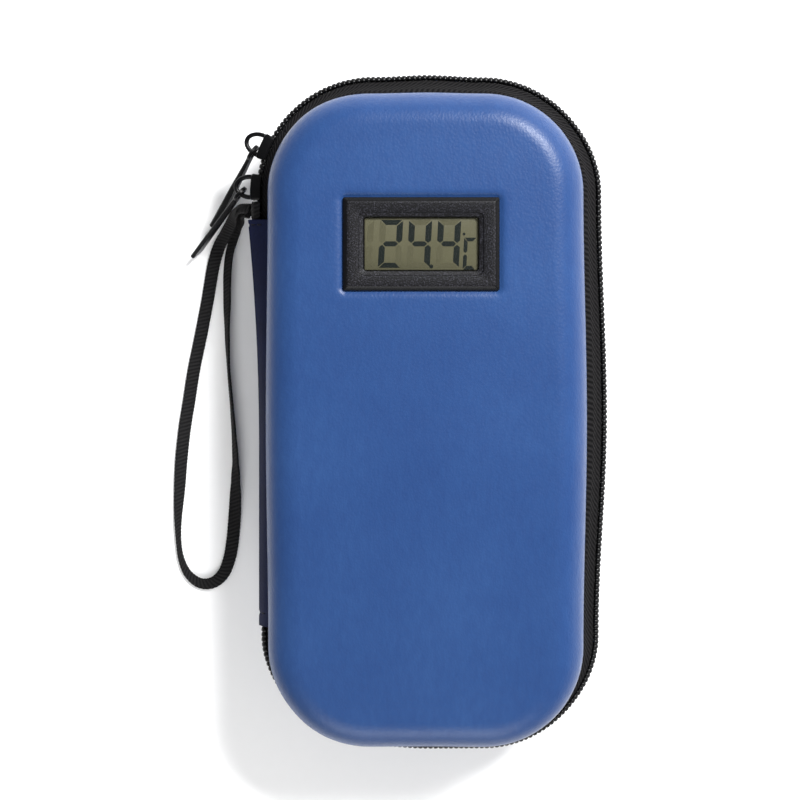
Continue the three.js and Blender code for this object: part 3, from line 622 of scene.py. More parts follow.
def shrunk(ring, share):
    """A flat ring drawn in towards the middle line of its face."""
    across = 1 - share * (1 - CORE_SHARE)
    return [(x * across, y * (1 - (1 - across) * ARC_X / ARC_Y), z) for x, y, z in ring]


def make_tray(name, rim_z, face_z, inset, wall, hole=False):
    """One closed layer of a shell; hole leaves the thermometer's opening through it."""
    inward = math.copysign(1, rim_z - face_z)
    rim = rim_z - inward * ((LAYER_SETBACK if inset else 0) + RIM_ROUND)
    outside = wall_line(face_z, rim, inset, FRONT_FILLET if hole and not inset else EDGE_FILLET)
    inside = wall_line(face_z, rim, inset + wall)
    edge = rounded_rim(outside[-1][0], inside[-1][0], rim, inward)
    side = [outline_ring(offset, z) for offset, z in outside + edge + inside[::-1]]
    if hole and not inset:
        side[:len(outside)] = [[swelled(u, offset, z) for u in KNOTS] for offset, z in outside]
    if hole:
        steps = [(0, 0)] if inset else LIP_STEPS
        top = face_z + inward * inset
        lip = [hole_ring(reach, top - LIP_DROP * drop) for reach, drop in steps]
        neck = CUTOUT_GAP - (BEZEL_WIDTH - HOUSING_WIDTH) / 2
        depth = wall if inset else SHELL_WALL
        throat = [hole_ring(neck, top + inward * depth), hole_ring(neck, top - LIP_DROP)]
        face = [blend_rings(lip[-1], side[0], i / FACE_STEPS) for i in range(1, FACE_STEPS)]
        inner = [blend_rings(side[-1], throat[0], i / FACE_STEPS) for i in range(1, FACE_STEPS)]
        front = [ring if inset else crowned(ring) for ring in lip + face]
        return loft(name, side + inner + throat + front, closed=True)
    outer = [shrunk(side[0], i / FACE_STEPS) for i in range(FACE_STEPS, 0, -1)]
    inner = [shrunk(side[-1], i / FACE_STEPS) for i in range(1, FACE_STEPS + 1)]
    return loft(name, outer + side + inner)


def foam_material():
    look = Look("closed_foam", 0.9)
    place = look.coords()
    cells = look.voronoi(place, 1400)
    tone = look.mix(cells, 0.6, look.noise(place, 180), 0.4)
    stops = [(0.2, (34, 35, 38)), (0.8, (58, 59, 63))]
    return look.finished(tone, stops, (cells, 0.95, 0.8), (cells, 0.12, 0.8))


def knit_material():
    look = Look("brushed_knit", 0.95, Sheen_Weight=0.45, Sheen_Roughness=0.6)
    place = look.coords()
    wales = look.wave(look.coords(turn=4), 260, 1.5, "X", 2)
    nap = look.noise(place, 900, 4, 0.7)
    tone = look.mix(nap, 0.6, look.noise(place, 60, 3), 0.4)
    height = look.maths("ADD", look.maths("MULTIPLY", wales, 0.4), nap)
    stops = [(0.25, (44, 45, 50)), (0.75, (74, 75, 82))]
    return look.finished(tone, stops, (nap, 1.0, 0.85), (height, 0.18, 0.7))


def make_shells():
    layers = (
        ("leather", 0, SHELL_WALL, LEATHER, "cover", "shell"),
        ("foam", FOAM_INSET, FOAM_WALL, foam_material(), "foam", "insulation"),
        ("knit", LINING_INSET, LINING_WALL, knit_material(), "lining", "lining"),
    )
    for layer, inset, wall, material, slot, node in layers:
        for side, body, rim_z, face_z in SHELLS:
            tray = make_tray(f"{side}_{layer}", rim_z, face_z, inset, wall, hole=side == "front")
            dress(tray, body, material, slot, f"{side}_{node}")


make_shells()


# Zip: woven tape from under the shell's rim, and a row of nylon teeth at its edge

TAPE_PITCH = 0.7
TOOTH_PITCH = 1.65
TOOTH_RADIUS = 0.52
TOOTH_HALF = 0.81
TOOTH_SIDES = 9
TOOTH_AHEAD = 0.001
CLOSED_END_Y = 91.2
CLOSED_GAP = 0.03
PARTING_INSET = 2
FINE_STEPS = 4000
SLIDER_HALF_SPAN = 6.2
SLIDER_ANGLES = [23.398, 3.298]
# Each place of a section: out from the shells' outline, and up from the zip's plane
TOOTH_PATH = (
    (4.3, 2.3), (4.75, 2.48), (5.05, 2.35), (5.42, 1.85), (5.48, 1.2), (5.3, 0.68), (4.7, 0.68),
)
CORE_SECTION = (
    (4.22, 0.35), (5.15, 0.35), (5.45, 0.7), (5.5, 1.9), (5.25, 2.15), (4.6, 2.4), (4.22, 2.2),
)
# The tape's roll against the coil, out from the tape's edge and up from the coil's height
TAPE_ROLL = (
    (0, -0.1), (-0.35, 0.25), (-0.8, 0.55), (-1.1, 0.6), (-1.35, 0.72), (-1.9, 1.35), (-2.5, 2.1), (-3, 2.9),
)
CORE_STEP = 1.42


def zip_line(low_u, high_u, pitch):
    """Values of u evenly spaced along the coil between two ends, and their distance."""
    fine = [low_u + (high_u - low_u) * i / FINE_STEPS for i in range(FINE_STEPS + 1)]
    line = [Vector(outline_at(u, COIL_OUTER + bulge_at(u))) for u in fine]
    length = runs_along(line)[-1]
    count = max(int(length / pitch), 2)
    places = [fine[k] + (fine[k + 1] - fine[k]) * share for k, share in even_places(line, count)]
    return places, length / count


def bulged(u, offset, z):
    extra = bulge_at(u) if offset > TAPE_BEND else 0
    return Vector((*outline_at(u, offset + extra), z))


def tape_section():
    """Down from under the rim, out round a groove, to the coil."""
    root = RIM_GAP - LAYER_GAP
    inner = TAPE_OUTER - TAPE_THICKNESS
    return [
        (TAPE_ROOT, root), (TAPE_ROOT, root - TAPE_THICKNESS), (0, root - TAPE_THICKNESS),
        (inner, COIL_HEIGHT - LAYER_GAP), (inner, COIL_HALF_GAP), (TAPE_OUTER, COIL_HALF_GAP),
        *((TAPE_OUTER + out, COIL_HEIGHT + up) for out, up in TAPE_ROLL), (TAPE_BEND, root),
    ]


def tape_material():
    look = Look("twill_tape", 0.85, Sheen_Roughness=0.5, Specular_IOR_Level=0.12)
    twill = look.wave(look.coords("UV", turn=38), 0.3, 0.5, "X", 2)
    tone = look.mix(twill, 0.6, look.noise(look.coords("UV"), 2.2, 4, 0.7), 0.4)
    return look.finished(tone, [(0.2, (0, 0, 1)), (0.8, (21, 20, 21))], (tone, 0.92, 0.72), (tone, 0.3, 1))


def coil_material():
    stops = [(0.2, (2, 2, 3)), (0.8, (9, 9, 10))]
    return plain_material(
        "nylon_coil", (900, 3), stops, (0.22, 0.36), (0.03, 0.5), 0.3, Specular_IOR_Level=0.2,
    )


def cord_material():
    stops = [(0.2, (5, 5, 6)), (0.8, (16, 16, 17))]
    return plain_material("coil_cord", (1500, 3, 0.7), stops, (0.9, 0.7), (0.12, 0.8), 0.8)


def zip_rings(section, places, side):
    return [[bulged(u, offset, ZIP_Z + side * height) for offset, height in section] for u in places]


def make_teeth(name, low_u, high_u, side):
    points = []
    faces = []
    places = zip_line(low_u, high_u, TOOTH_PITCH)[0][:-1]
    for u, line in zip(places, zip_rings(TOOTH_PATH, places, side)):
        ahead = Vector(outline_at(u + TOOTH_AHEAD, 0)) - Vector(outline_at(u, 0))
        along = Vector((*ahead, 0)).normalized()
        faces += skin(len(points), len(line), TOOTH_SIDES)
        for i, place in enumerate(line):
            over = heading(line, i).cross(along).normalized()
            for k in range(TOOTH_SIDES):
                angle = math.tau * k / TOOTH_SIDES
                wide = along * math.cos(angle) * TOOTH_HALF
                points.append(place + wide + over * math.sin(angle) * TOOTH_RADIUS)
    return face_out(make_object(name, points, faces))


def make_tape(name, low_u, high_u, side):
    places, pitch = zip_line(low_u, high_u, TAPE_PITCH)
    section = tape_section()
    across = runs_along([Vector(place) for place in section])
    uvs = [[(run, i * pitch) for run in across] for i in range(len(places))]
    return loft(name, zip_rings(section, places, side), uvs=uvs)


def make_core(name, low_u, high_u, side):
    """What the teeth are wound round."""
    return loft(name, zip_rings(CORE_SECTION, zip_line(low_u, high_u, CORE_STEP)[0], side))


def end_at(offset):
    """The value of u where a line at an offset crosses the parting plane."""
    return SEGMENTS - math.asin((CLOSED_END_Y - ARC_Y) / (CORNER_RADIUS + offset)) / math.pi * 2


def make_zip():
    low = left_u(ZIP_FROM_Y)
    high = SEGMENTS + left_u(ZIP_TO_Y)
    parting = end_at(COIL_OUTER - PARTING_INSET)
    gap = CLOSED_GAP / CORNER_RADIUS / math.pi * 2
    stretches = (
        ("back", "back_zip", "base", (low, high, -1)),
        ("front", "front_zip", "lid", (low, parting - gap, 1)),
        ("end", "zip_end", "base", (parting + gap, high, 1)),
    )
    tape = tape_material()
    coil = coil_material()
    cord = cord_material()
    for name, node, body, stretch in stretches:
        dress(make_tape(f"{name}_tape", *stretch), body, tape, "tape", f"{node}_tape")
        dress(make_teeth(f"{name}_teeth", *stretch), body, coil, "coil", f"{node}_coil")
    for name, _, body, stretch in stretches:
        dress(make_core(f"{name}_core", *stretch), body, cord, "tape")


make_zip()


# Spine: coated cloth over board, sewn across near both ends, with its lining

SPINE_REACH = 5.6
SPINE_INNER_X = -50.9
SPINE_SWELL = 3.6
SPINE_SWELL_FROM_Y = -10
SPINE_GAP = 0.4
SPINE_WALL = 2.4
SPINE_SHOULDER = 3
SPINE_LIP = 1
SPINE_ROUNDNESS = 0.8
SPINE_STEPS = 320
SPINE_ARC_STEPS = 6
SPINE_LINING_STEPS = 80
SPINE_LINING_SIDES = 6
SEAM_YS = (SPINE_FROM_Y + 3.9, SPINE_TO_Y - 1.9)
SEAM_DEPTH = 0.45
SEAM_HALF = 0.42
SEAM_STEPS = 30
SPINE_OVERHANG = 0.24
STITCH_PITCH = 2.3
STITCH_LENGTH = 1.7
STITCH_RADIUS = 0.2
STITCH_STEPS = 4
STITCH_END_SHARE = 0.55
THREAD_SIDES = 6


def spine_outer(y):
    reach = max(0, (y - SPINE_SWELL_FROM_Y) / (SPINE_TO_Y - SPINE_SWELL_FROM_Y))
    return -HALF_WIDTH - SPINE_REACH - SPINE_SWELL * reach ** 2


def seam_dent(y):
    return sum(SEAM_DEPTH * math.exp(-((y - place) / SEAM_HALF) ** 2) for place in SEAM_YS)


def spine_section(y):
    """The spine's rounded channel at one height of y."""
    bottom = BACK_RIM_Z + SPINE_GAP
    top = FRONT_RIM_Z - SPINE_GAP
    face = spine_outer(y) + seam_dent(y)
    points = []
    for i in range(SPINE_ARC_STEPS + 1):
        rise = math.sin(i / SPINE_ARC_STEPS * math.pi / 2)
        x = SPINE_INNER_X - (SPINE_INNER_X - face) * rise ** SPINE_ROUNDNESS
        points.append((x, bottom + SPINE_SHOULDER * rise))
    upper = [(x, top + bottom - z) for x, z in reversed(points)]
    inside = [
        (SPINE_INNER_X, top - SPINE_LIP), (face + SPINE_WALL, top - SPINE_SHOULDER),
        (face + SPINE_WALL, bottom + SPINE_SHOULDER), (SPINE_INNER_X, bottom + SPINE_LIP),
    ]
    return points + upper + inside


def spine_material():
    look = Look("coated_cloth", 0.52, Specular_IOR_Level=0.14)
    place = look.coords()
    warp = look.wave(look.coords(turn=45), 900, 0.4, "X")
    pebble = look.voronoi(place, 1500, "SMOOTH_F1")
    tone = look.mix(look.noise(place, 60, 3), 0.7, pebble, 0.3)
    height = look.maths("ADD", pebble, look.maths("MULTIPLY", warp, 0.3))
    stops = [(0.25, (3, 9, 36)), (0.7, (9, 18, 52))]
    return look.finished(tone, stops, (tone, 0.62, 0.45), (height, 0.08, 0.6))


def add_stitch(points, faces, line):
    """Adds a thread along a line to running lists, its ends drawn in."""
    faces += skin(len(points), len(line), THREAD_SIDES)
    for i, place in enumerate(line):
        run = heading(line, i)
        side = run.orthogonal().normalized()
        over = run.cross(side)
        radius = STITCH_RADIUS * (STITCH_END_SHARE if i in (0, len(line) - 1) else 1)
        for k in range(THREAD_SIDES):
            angle = math.tau * k / THREAD_SIDES
            points.append(place + (side * math.cos(angle) + over * math.sin(angle)) * radius)


def thread_material():
    stops = [(0.3, (3, 5, 14)), (0.7, (10, 14, 28))]
    return plain_material(
        "sewing_thread", (3000, 2), stops, (0.7, 0.5), (0.05, 0.8), 0.7, Specular_IOR_Level=0.15,
    )


def spine_stitches():
    points = []
    faces = []
    for y in SEAM_YS:
        section = spine_section(y)[:2 * SPINE_ARC_STEPS + 2]
        path = resampled([Vector((x, y, z)) for x, z in section], SEAM_STEPS)
        length = runs_along(path)[-1]
        for k in range(int(length / STITCH_PITCH)):
            low = k * STITCH_PITCH / length
            high = low + STITCH_LENGTH / length
            line = []
            for j in range(STITCH_STEPS + 1):
                place = path[min(round((low + (high - low) * j / STITCH_STEPS) * SEAM_STEPS), SEAM_STEPS)]
                sunk = -1 if 0 < j < STITCH_STEPS else 1
                line.append(place + Vector((sunk * STITCH_RADIUS / 2, 0, 0)))
            add_stitch(points, faces, line)
    return points, faces


def spine_lining_ring(y):
    x = spine_outer(y) + SPINE_WALL + LAYER_GAP
    low = BACK_RIM_Z + SPINE_GAP + SPINE_SHOULDER + LAYER_GAP
    high = FRONT_RIM_Z - SPINE_GAP - SPINE_SHOULDER - LAYER_GAP
    ring = [(x, y, high)]
    for k in range(SPINE_LINING_SIDES - 1, 0, -1):
        share = k / SPINE_LINING_SIDES
        ring.append((x + LINING_WALL * (1 - (2 * share - 1) ** 4), y, low + (high - low) * share))
    return ring + [(x, y, low)]


def make_spine():
    rings = []
    for i in range(SPINE_STEPS + 1):
        y = SPINE_FROM_Y - SPINE_OVERHANG + (SPINE_TO_Y - SPINE_FROM_Y) * i / SPINE_STEPS
        rings.append([(x, y, z) for x, z in spine_section(y)])
    dress(loft("spine_cloth", rings, sharp=CLOTH_SHARP), "spine", spine_material(), "spine", "spine_cover")
    length = SPINE_TO_Y - SPINE_OVERHANG - SPINE_FROM_Y
    places = [SPINE_FROM_Y + length * i / SPINE_LINING_STEPS for i in range(SPINE_LINING_STEPS + 1)]
    lining = [spine_lining_ring(y) for y in places]
    knit = bpy.data.materials["brushed_knit"]
    dress(loft("spine_knit", lining), "spine", knit, "lining", "spine_lining")
    stitches = face_out(make_object("spine_stitches", *spine_stitches()))
    dress(stitches, "spine", thread_material(), "spine")


make_spine()


# Hinge strips: lining that runs over each shell's rim to the spine

# Distance across from the case's middle, and height from the zip's plane
HINGE_LINE = [
    (-45.6, 6.15), (-47.2, 6.15), (-48.6, 6.15), (-49.6, 6.1), (-50.2, 5.8), (-50.5, 5.2), (-50.55, 4.4),
    (-50.55, 3.3),
]
HINGE_THICKNESS = 0.44
HINGE_INSETS = (0.5, 0.9)
HINGE_STEPS = 24
HINGE_LONG_STEPS = 60


def make_hinge(name, side):
    knots = [Vector((x, 0, ZIP_Z + side * height)) for x, height in HINGE_LINE]
    line = curve_through(knots, HINGE_STEPS)
    runs = [heading(line, i) for i in range(len(line))]
    over = [Vector((-run.z, 0, run.x)) * HINGE_THICKNESS / 2 for run in runs]
    near = [place + away for place, away in zip(line, over)]
    far = [place - away for place, away in zip(line, over)]
    low = SPINE_FROM_Y + HINGE_INSETS[0]
    high = SPINE_TO_Y - HINGE_INSETS[1]
    rings = []
    for i in range(HINGE_LONG_STEPS + 1):
        y = low + (high - low) * i / HINGE_LONG_STEPS
        rings.append([(p.x, y, p.z) for p in near + far[::-1]])
    strip = loft(name, rings, sharp=CLOTH_SHARP)
    strip.data.materials.append(bpy.data.materials["brushed_knit"])
    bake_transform(strip)


make_hinge("back_hinge_knit", -1)
make_hinge("front_hinge_knit", 1)


# Sliders and their pull tabs: painted metal, a plate over the coil and a bent-wire crown

SLIDER_OUTER = 8.5
SLIDER_INNER = 5.2
SLIDER_CHANNEL = 7.3
SLIDER_CHANNEL_HALF = 3.4
SLIDER_HALF_HEIGHT = 4.2
SLIDER_EDGE = 0.35
SLIDER_ARC_STEPS = 14
# A slider's rounded edge: back from its outside, and up from its lower face
SLIDER_SHOULDER = ((0.8, 0), (0.2, 0.25), (0, 0.9))
CROWN_HALF_SPAN = 3.9
CROWN_REACH = 5.6
CROWN_BAR = 1.2
CROWN_WIRE = 1.5
CROWN_HEIGHT = 1.8
CROWN_OVERLAP = 0.4
CROWN_STEPS = 28
CROWN_SIDES = 12
CROWN_FOOT_SHARE = 0.16
CROWN_FLARE_SHARE = 0.25
CROWN_SQUARENESS = 0.8
SLIDERS = (("slider_1", "slider_a", "pull_a"), ("slider_2", "slider_b", "pull_b"))
PULL_CROWN_ANGLES = (16, 44)
PULL_DIRECTIONS = (234.9, 226.8)
PULL_DROOPS = (41.2, 42)
PULL_LENGTHS = (36.9, 36.3)
PULL_RING = 2.8
PULL_HOLE = 1.75
# Where a tab's neck and waist are, as shares of its ring and of its length
PULL_NECK_SHARES = (2, 0.7)
PULL_WAIST_SHARE = 0.45
PULL_CHAMFER = 0.5
PULL_TIP_HALF = 2.9
PULL_THICKNESS = 1.2
# How much thicker each tab is at its end, as a share
PULL_GROWTH_SHARES = (0.9, 0.15)
PULL_GROWN_SHARE = 0.8
PULL_EDGE = 0.22
# The ring's arc, in degrees from the tab's length, and its steps
PULL_ARC = (45, 315)
PULL_ARC_STEPS = 20


def painted_material():
    look = Look("painted_metal", 0.3, Specular_IOR_Level=0.12)
    place = look.coords()
    orange = look.noise(place, 1200, 2)
    wear = look.noise(place, 240, 5, 0.7)
    return look.finished(wear, [(0.35, (1, 1, 2)), (0.75, (7, 7, 8))], (wear, 0.24, 0.4), (orange, 0.04, 0.4))


def at_slider(angle_from_left):
    turn = Matrix.Rotation((180 - angle_from_left) * DEG, 4, "Z")
    return Matrix.Translation((-ARC_X, ARC_Y, 0)) @ turn


def clasp_ring(degrees, tuck):
    """The slider's C section; tuck draws its outside in at the two ends."""
    half = SLIDER_HALF_HEIGHT - tuck
    inner = SLIDER_INNER + tuck
    lower = [(SLIDER_OUTER - tuck - back, -half + up) for back, up in SLIDER_SHOULDER]
    section = [
        (inner, -half), *lower, *((out, -z) for out, z in reversed(lower)), (inner, half),
        (inner, SLIDER_CHANNEL_HALF), (SLIDER_CHANNEL, SLIDER_CHANNEL_HALF),
        (SLIDER_CHANNEL, -SLIDER_CHANNEL_HALF), (inner, -SLIDER_CHANNEL_HALF),
    ]
    turn = Matrix.Rotation(degrees * DEG, 3, "Z")
    return [turn @ Vector((CORNER_RADIUS + out, 0, ZIP_Z + z)) for out, z in section]


def crown_point(angle, inset):
    return (
        SLIDER_OUTER + CROWN_OVERLAP + (CROWN_REACH - CROWN_OVERLAP - inset) * math.sin(angle),
        (CROWN_HALF_SPAN - inset) * math.cos(angle),
    )


def crown_ring(share):
    """The crown wire's section at a share of its way round; its feet lie beyond 0 and 1."""
    angle = min(max(share, 0), 1) * math.pi
    x, y = crown_point(angle, CROWN_BAR / 2)
    if share < 0 or share > 1:
        x -= 2 * CROWN_OVERLAP
    run = Vector((math.cos(angle), -math.sin(angle) * CROWN_HALF_SPAN / CROWN_REACH, 0)).normalized()
    out = Vector((-run.y, run.x, 0)) * CROWN_WIRE / 2
    tall = CROWN_HEIGHT / 2 * (1 + CROWN_FLARE_SHARE * math.cos(angle) ** 4)
    ring = []
    for k in range(CROWN_SIDES):
        turn = math.tau * k / CROWN_SIDES
        across = out * squared(math.cos(turn), CROWN_SQUARENESS)
        up = Vector((0, 0, tall * squared(math.sin(turn), CROWN_SQUARENESS)))
        ring.append(Vector((CORNER_RADIUS + x, y, ZIP_Z)) + across + up)
    return ring


def make_slider(index, name):
    place = at_slider(SLIDER_ANGLES[index])
    plate = []
    for i in range(SLIDER_ARC_STEPS + 1):
        degrees = SLIDER_HALF_SPAN * (2 * i / SLIDER_ARC_STEPS - 1)
        plate.append(clasp_ring(degrees, SLIDER_EDGE if i in (0, SLIDER_ARC_STEPS) else 0))
    shares = [i / CROWN_STEPS for i in range(CROWN_STEPS + 1)]
    wire = [crown_ring(share) for share in (-CROWN_FOOT_SHARE, *shares, 1 + CROWN_FOOT_SHARE)]
    body = loft(f"{name}_body", [[place @ p for p in ring] for ring in plate], sharp=SLIDER_SHARP)
    return body, loft(f"{name}_crown", [[place @ p for p in ring] for ring in wire])


def pull_outline(length, inset):
    """The tab's edge in its own plane, drawn in by inset."""
    ring = PULL_RING - inset
    points = []
    for i in range(PULL_ARC_STEPS + 1):
        angle = (PULL_ARC[0] + (PULL_ARC[1] - PULL_ARC[0]) * i / PULL_ARC_STEPS) * DEG
        points.append((ring * math.cos(angle), ring * math.sin(angle)))
    neck_x, neck_y = (PULL_RING * share for share in PULL_NECK_SHARES)
    tip = PULL_TIP_HALF - inset
    end = length - inset
    upper = [
        (end, tip - PULL_CHAMFER), (end - PULL_CHAMFER, tip),
        (length * PULL_WAIST_SHARE, (neck_y - inset + tip) / 2), (neck_x, neck_y - inset),
    ]
    return points + [(x, -y) for x, y in reversed(upper)] + upper


def make_pull(index, name):
    length = PULL_LENGTHS[index]
    half = PULL_THICKNESS / 2
    growth = PULL_GROWTH_SHARES[index]
    outside = []
    hole = []
    for inset, z in ((PULL_EDGE, -half), (0, PULL_EDGE - half), (0, half - PULL_EDGE), (PULL_EDGE, half)):
        ring = []
        for x, y in pull_outline(length, inset):
            ring.append(Vector((x, y, z * (1 + growth * eased(x, PULL_RING, PULL_GROWN_SHARE * length)))))
        outside.append(ring)
        angles = [math.atan2(p.y, p.x) for p in outside[0]]
        radius = PULL_HOLE + inset
        hole.append([Vector((radius * math.cos(angle), radius * math.sin(angle), z)) for angle in angles])
    x, y = crown_point(PULL_CROWN_ANGLES[index] * DEG, CROWN_BAR / 2)
    anchor = at_slider(SLIDER_ANGLES[index]) @ Vector((CORNER_RADIUS + x, y, ZIP_Z))
    place = Matrix.Translation(anchor) @ Matrix.Rotation(PULL_DIRECTIONS[index] * DEG, 4, "Z")
    place = place @ Matrix.Rotation(PULL_DROOPS[index] * DEG, 4, "Y") @ Matrix.Rotation(math.pi / 2, 4, "X")
    rings = [[place @ p for p in ring] for ring in outside + hole[::-1]]
    return loft(f"{name}_tab", rings, closed=True, sharp=PULL_SHARP)


def make_sliders():
    paint = painted_material()
    for index, (name, slider, pull) in enumerate(SLIDERS):
        body, crown = make_slider(index, name)
        dress(body, slider, paint, "slider", name)
        dress(crown, slider, paint, "slider")
        dress(make_pull(index, f"pull_{index + 1}"), pull, paint, "slider", f"pull_tab_{index + 1}")


make_sliders()


# Strap anchor: a woven tab folded round the end of the zip

ANCHOR_FROM_Y = 62.84
ANCHOR_TO_Y = 68.6
ANCHOR_STEPS = 16
ANCHOR_ARC_STEPS = 12
ANCHOR_ROUND = 2.6
ANCHOR_ROUNDNESS = 0.6
ANCHOR_TUCK = 0.3
ANCHOR_TUCK_POWER = 6
ANCHOR_RIBS = 6
ANCHOR_RIB = 0.07
ANCHOR_WEAVE_STEP = 0.9


def anchor_section(share):
    """The tab's C section at a share of its length."""
    tuck = ANCHOR_TUCK * abs(2 * share - 1) ** ANCHOR_TUCK_POWER
    rib = ANCHOR_RIB * math.cos(share * math.tau * ANCHOR_RIBS)
    outer = SLIDER_OUTER - tuck + rib - ANCHOR_RIB - ANCHOR_ROUND
    half = SLIDER_HALF_HEIGHT - tuck
    section = [(outer, -half)]
    for k in range(1, ANCHOR_ARC_STEPS):
        angle = math.pi * (k / ANCHOR_ARC_STEPS - 1 / 2)
        section.append((outer + ANCHOR_ROUND * math.cos(angle) ** ANCHOR_ROUNDNESS, half * math.sin(angle)))
    return section + [
        (outer, half), (SLIDER_INNER, half), (SLIDER_INNER, SLIDER_CHANNEL_HALF),
        (SLIDER_CHANNEL, SLIDER_CHANNEL_HALF), (SLIDER_CHANNEL, -SLIDER_CHANNEL_HALF),
        (SLIDER_INNER, -SLIDER_CHANNEL_HALF), (SLIDER_INNER, -half),
    ]


def make_anchor():
    low = SEGMENTS + left_u(ANCHOR_TO_Y)
    high = SEGMENTS + left_u(ANCHOR_FROM_Y)
    rings = []
    uvs = []
    for i in range(ANCHOR_STEPS + 1):
        share = i / ANCHOR_STEPS
        section = anchor_section(share)
        rings.append([(*outline_at(low + (high - low) * share, out), ZIP_Z + z) for out, z in section])
        run = share * (ANCHOR_TO_Y - ANCHOR_FROM_Y)
        uvs.append([(k * ANCHOR_WEAVE_STEP, run) for k in range(len(section))])
    weave = bpy.data.materials["woven_strap"]
    anchor = loft("anchor_tab", rings, uvs=uvs, sharp=CLOTH_SHARP)
    dress(anchor, "base", weave, "tape", "strap_anchor")


make_anchor()


# Panel thermometer: a bevelled bezel with a stepped opening, a clear window and the display

# Each ring's half width, half length and corner radius, and its height above the front face
BEZEL_RINGS = [
    (24, 14.3, 0.6, -0.6), (24, 14.3, 0.6, 0.12), (23.92, 14.22, 0.55, 0.24), (22.78, 13.08, 0.4, 1.14),
    (22.62, 12.92, 0.35, 1.24), (22.4, 12.7, 0.35, 1.3), (22.1, 12.4, 0.35, 1.3), (19.45, 10, 1.9, 1.3),
    (19.2, 9.75, 1.8, 1.22), (18.95, 9.5, 1.7, 0.84), (18.8, 9.35, 1.65, 0.76), (18.05, 8.65, 1.3, 0.72),
    (17.85, 8.45, 1.2, 0.62), (17.7, 8.3, 1.1, 0.4), (17.7, 8.3, 1.1, -2.05), (22.7, 13, 0.5, -2.05),
    (22.7, 13, 0.5, -0.6),
]
# The ring down to which the bezel's sides are moulded smooth
BEZEL_SLOPE_RING = 3
WINDOW_RINGS = [
    (17.3, 7.9, 0.8, -0.5), (17.55, 8.15, 0.85, -0.4), (17.55, 8.15, 0.85, 0.2), (17.35, 7.95, 0.8, 0.32),
]
LCD_RINGS = [
    (21, 11.3, 0.4, -4.65), (21, 11.3, 0.4, -2.65), (17.4, 8, 0.3, -2.55), (17.4, 8, 0.3, -1.05),
    (17.2, 7.8, 0.3, -0.95),
]
BEZEL_CORNER_STEPS = 6
DIGIT_WIDTH = 7.06
DIGIT_HEIGHT = 14.7
DIGIT_BOTTOM = -7.36
DIGIT_LEFTS = (-12.99, -4.09, 4.81)
DIGIT_THICK = 1.85
DIGIT_FLAT = 1.55
DIGIT_SLANT = 0.052
DIGIT_GAP = 0.28
READING = (("a", "b", "g", "e", "d"), ("f", "g", "b", "c"), ("f", "g", "b", "c"))
POINT_PLACE = (3.43, -6.95)
POINT_RADIUS = 0.62
POINT_STEPS = 14
UNIT_LEFT = 13.05
UNIT_WIDTH = 3.9
UNIT_TOP = 1.9
UNIT_BOTTOM = -7.9
UNIT_THICK = 1.15
DEGREE_PLACE = (12.95, 3.0)
DEGREE_SHARE = 0.7
SEGMENT_LIFT = 0.03
SEGMENT_DEPTH = 0.05
LCD_TOP = -0.95
# Colours of the display's lit and unlit bars, darkest first
LIT_COLOURS = ((10, 16, 15), (16, 22, 20))
UNLIT_COLOURS = ((62, 61, 45), (74, 72, 55))


def rounded_ring(half_x, half_y, radius, z):
    arcs = corner_arcs(half_x, half_y, radius, BEZEL_CORNER_STEPS)
    return [(METER_X + x, METER_Y + y, FRONT_FACE_Z + z) for arc in arcs for x, y in arc]


def meter_material():
    look = Look("spark_plastic_painted_glints", 0.5, Specular_IOR_Level=0.14)
    place = look.coords()
    grain = look.maths("ADD", look.voronoi(place, 2600), look.noise(place, 3800, 3, 0.7))
    tone = look.maths("MULTIPLY", grain, 0.6)
    # The palest stop paints sparkle glints as pale flecks; the two dark stops are the plastic's own
    # spark-eroded grain.
    stops = [(0.25, (2, 2, 3)), (0.6, (5, 5, 7)), (0.85, (42, 42, 48))]
    return look.finished(tone, stops, (tone, 0.62, 0.36), (tone, 0.09, 0.8))


def slope_material():
    stops = [(0.3, (2, 2, 3)), (0.7, (7, 7, 9))]
    return plain_material(
        "smooth_plastic", (900, 3), stops, (0.3, 0.42), (0.02, 0.5), 0.34, Specular_IOR_Level=0.14,
    )


def window_material():
    stops = [(0.3, (20, 22, 19)), (0.7, (30, 32, 28))]
    material = plain_material(
        "clear_window", (220, 2), stops, (0.03, 0.07), roughness=0.04, Specular_IOR_Level=0.5, Alpha=0.06,
    )
    material.surface_render_method = "BLENDED"
    return material


def lcd_material():
    look = Look("lcd_glass", 0.45, Specular_IOR_Level=0.25)
    place = look.coords()
    fine = look.noise(place, 2400, 3, 0.6)
    tone = look.mix(look.noise(place, 50, 2), 0.6, fine, 0.4)
    stops = [(0.25, (68, 67, 50)), (0.75, (82, 80, 62))]
    return look.finished(tone, stops, (fine, 0.26, 0.38), (fine, 0.01, 0.3))


def segment_material(name, low, high):
    stops = [(0.2, low), (0.8, high)]
    return plain_material(name, (2600, 2), stops, (0.3, 0.42), Specular_IOR_Level=0.2)


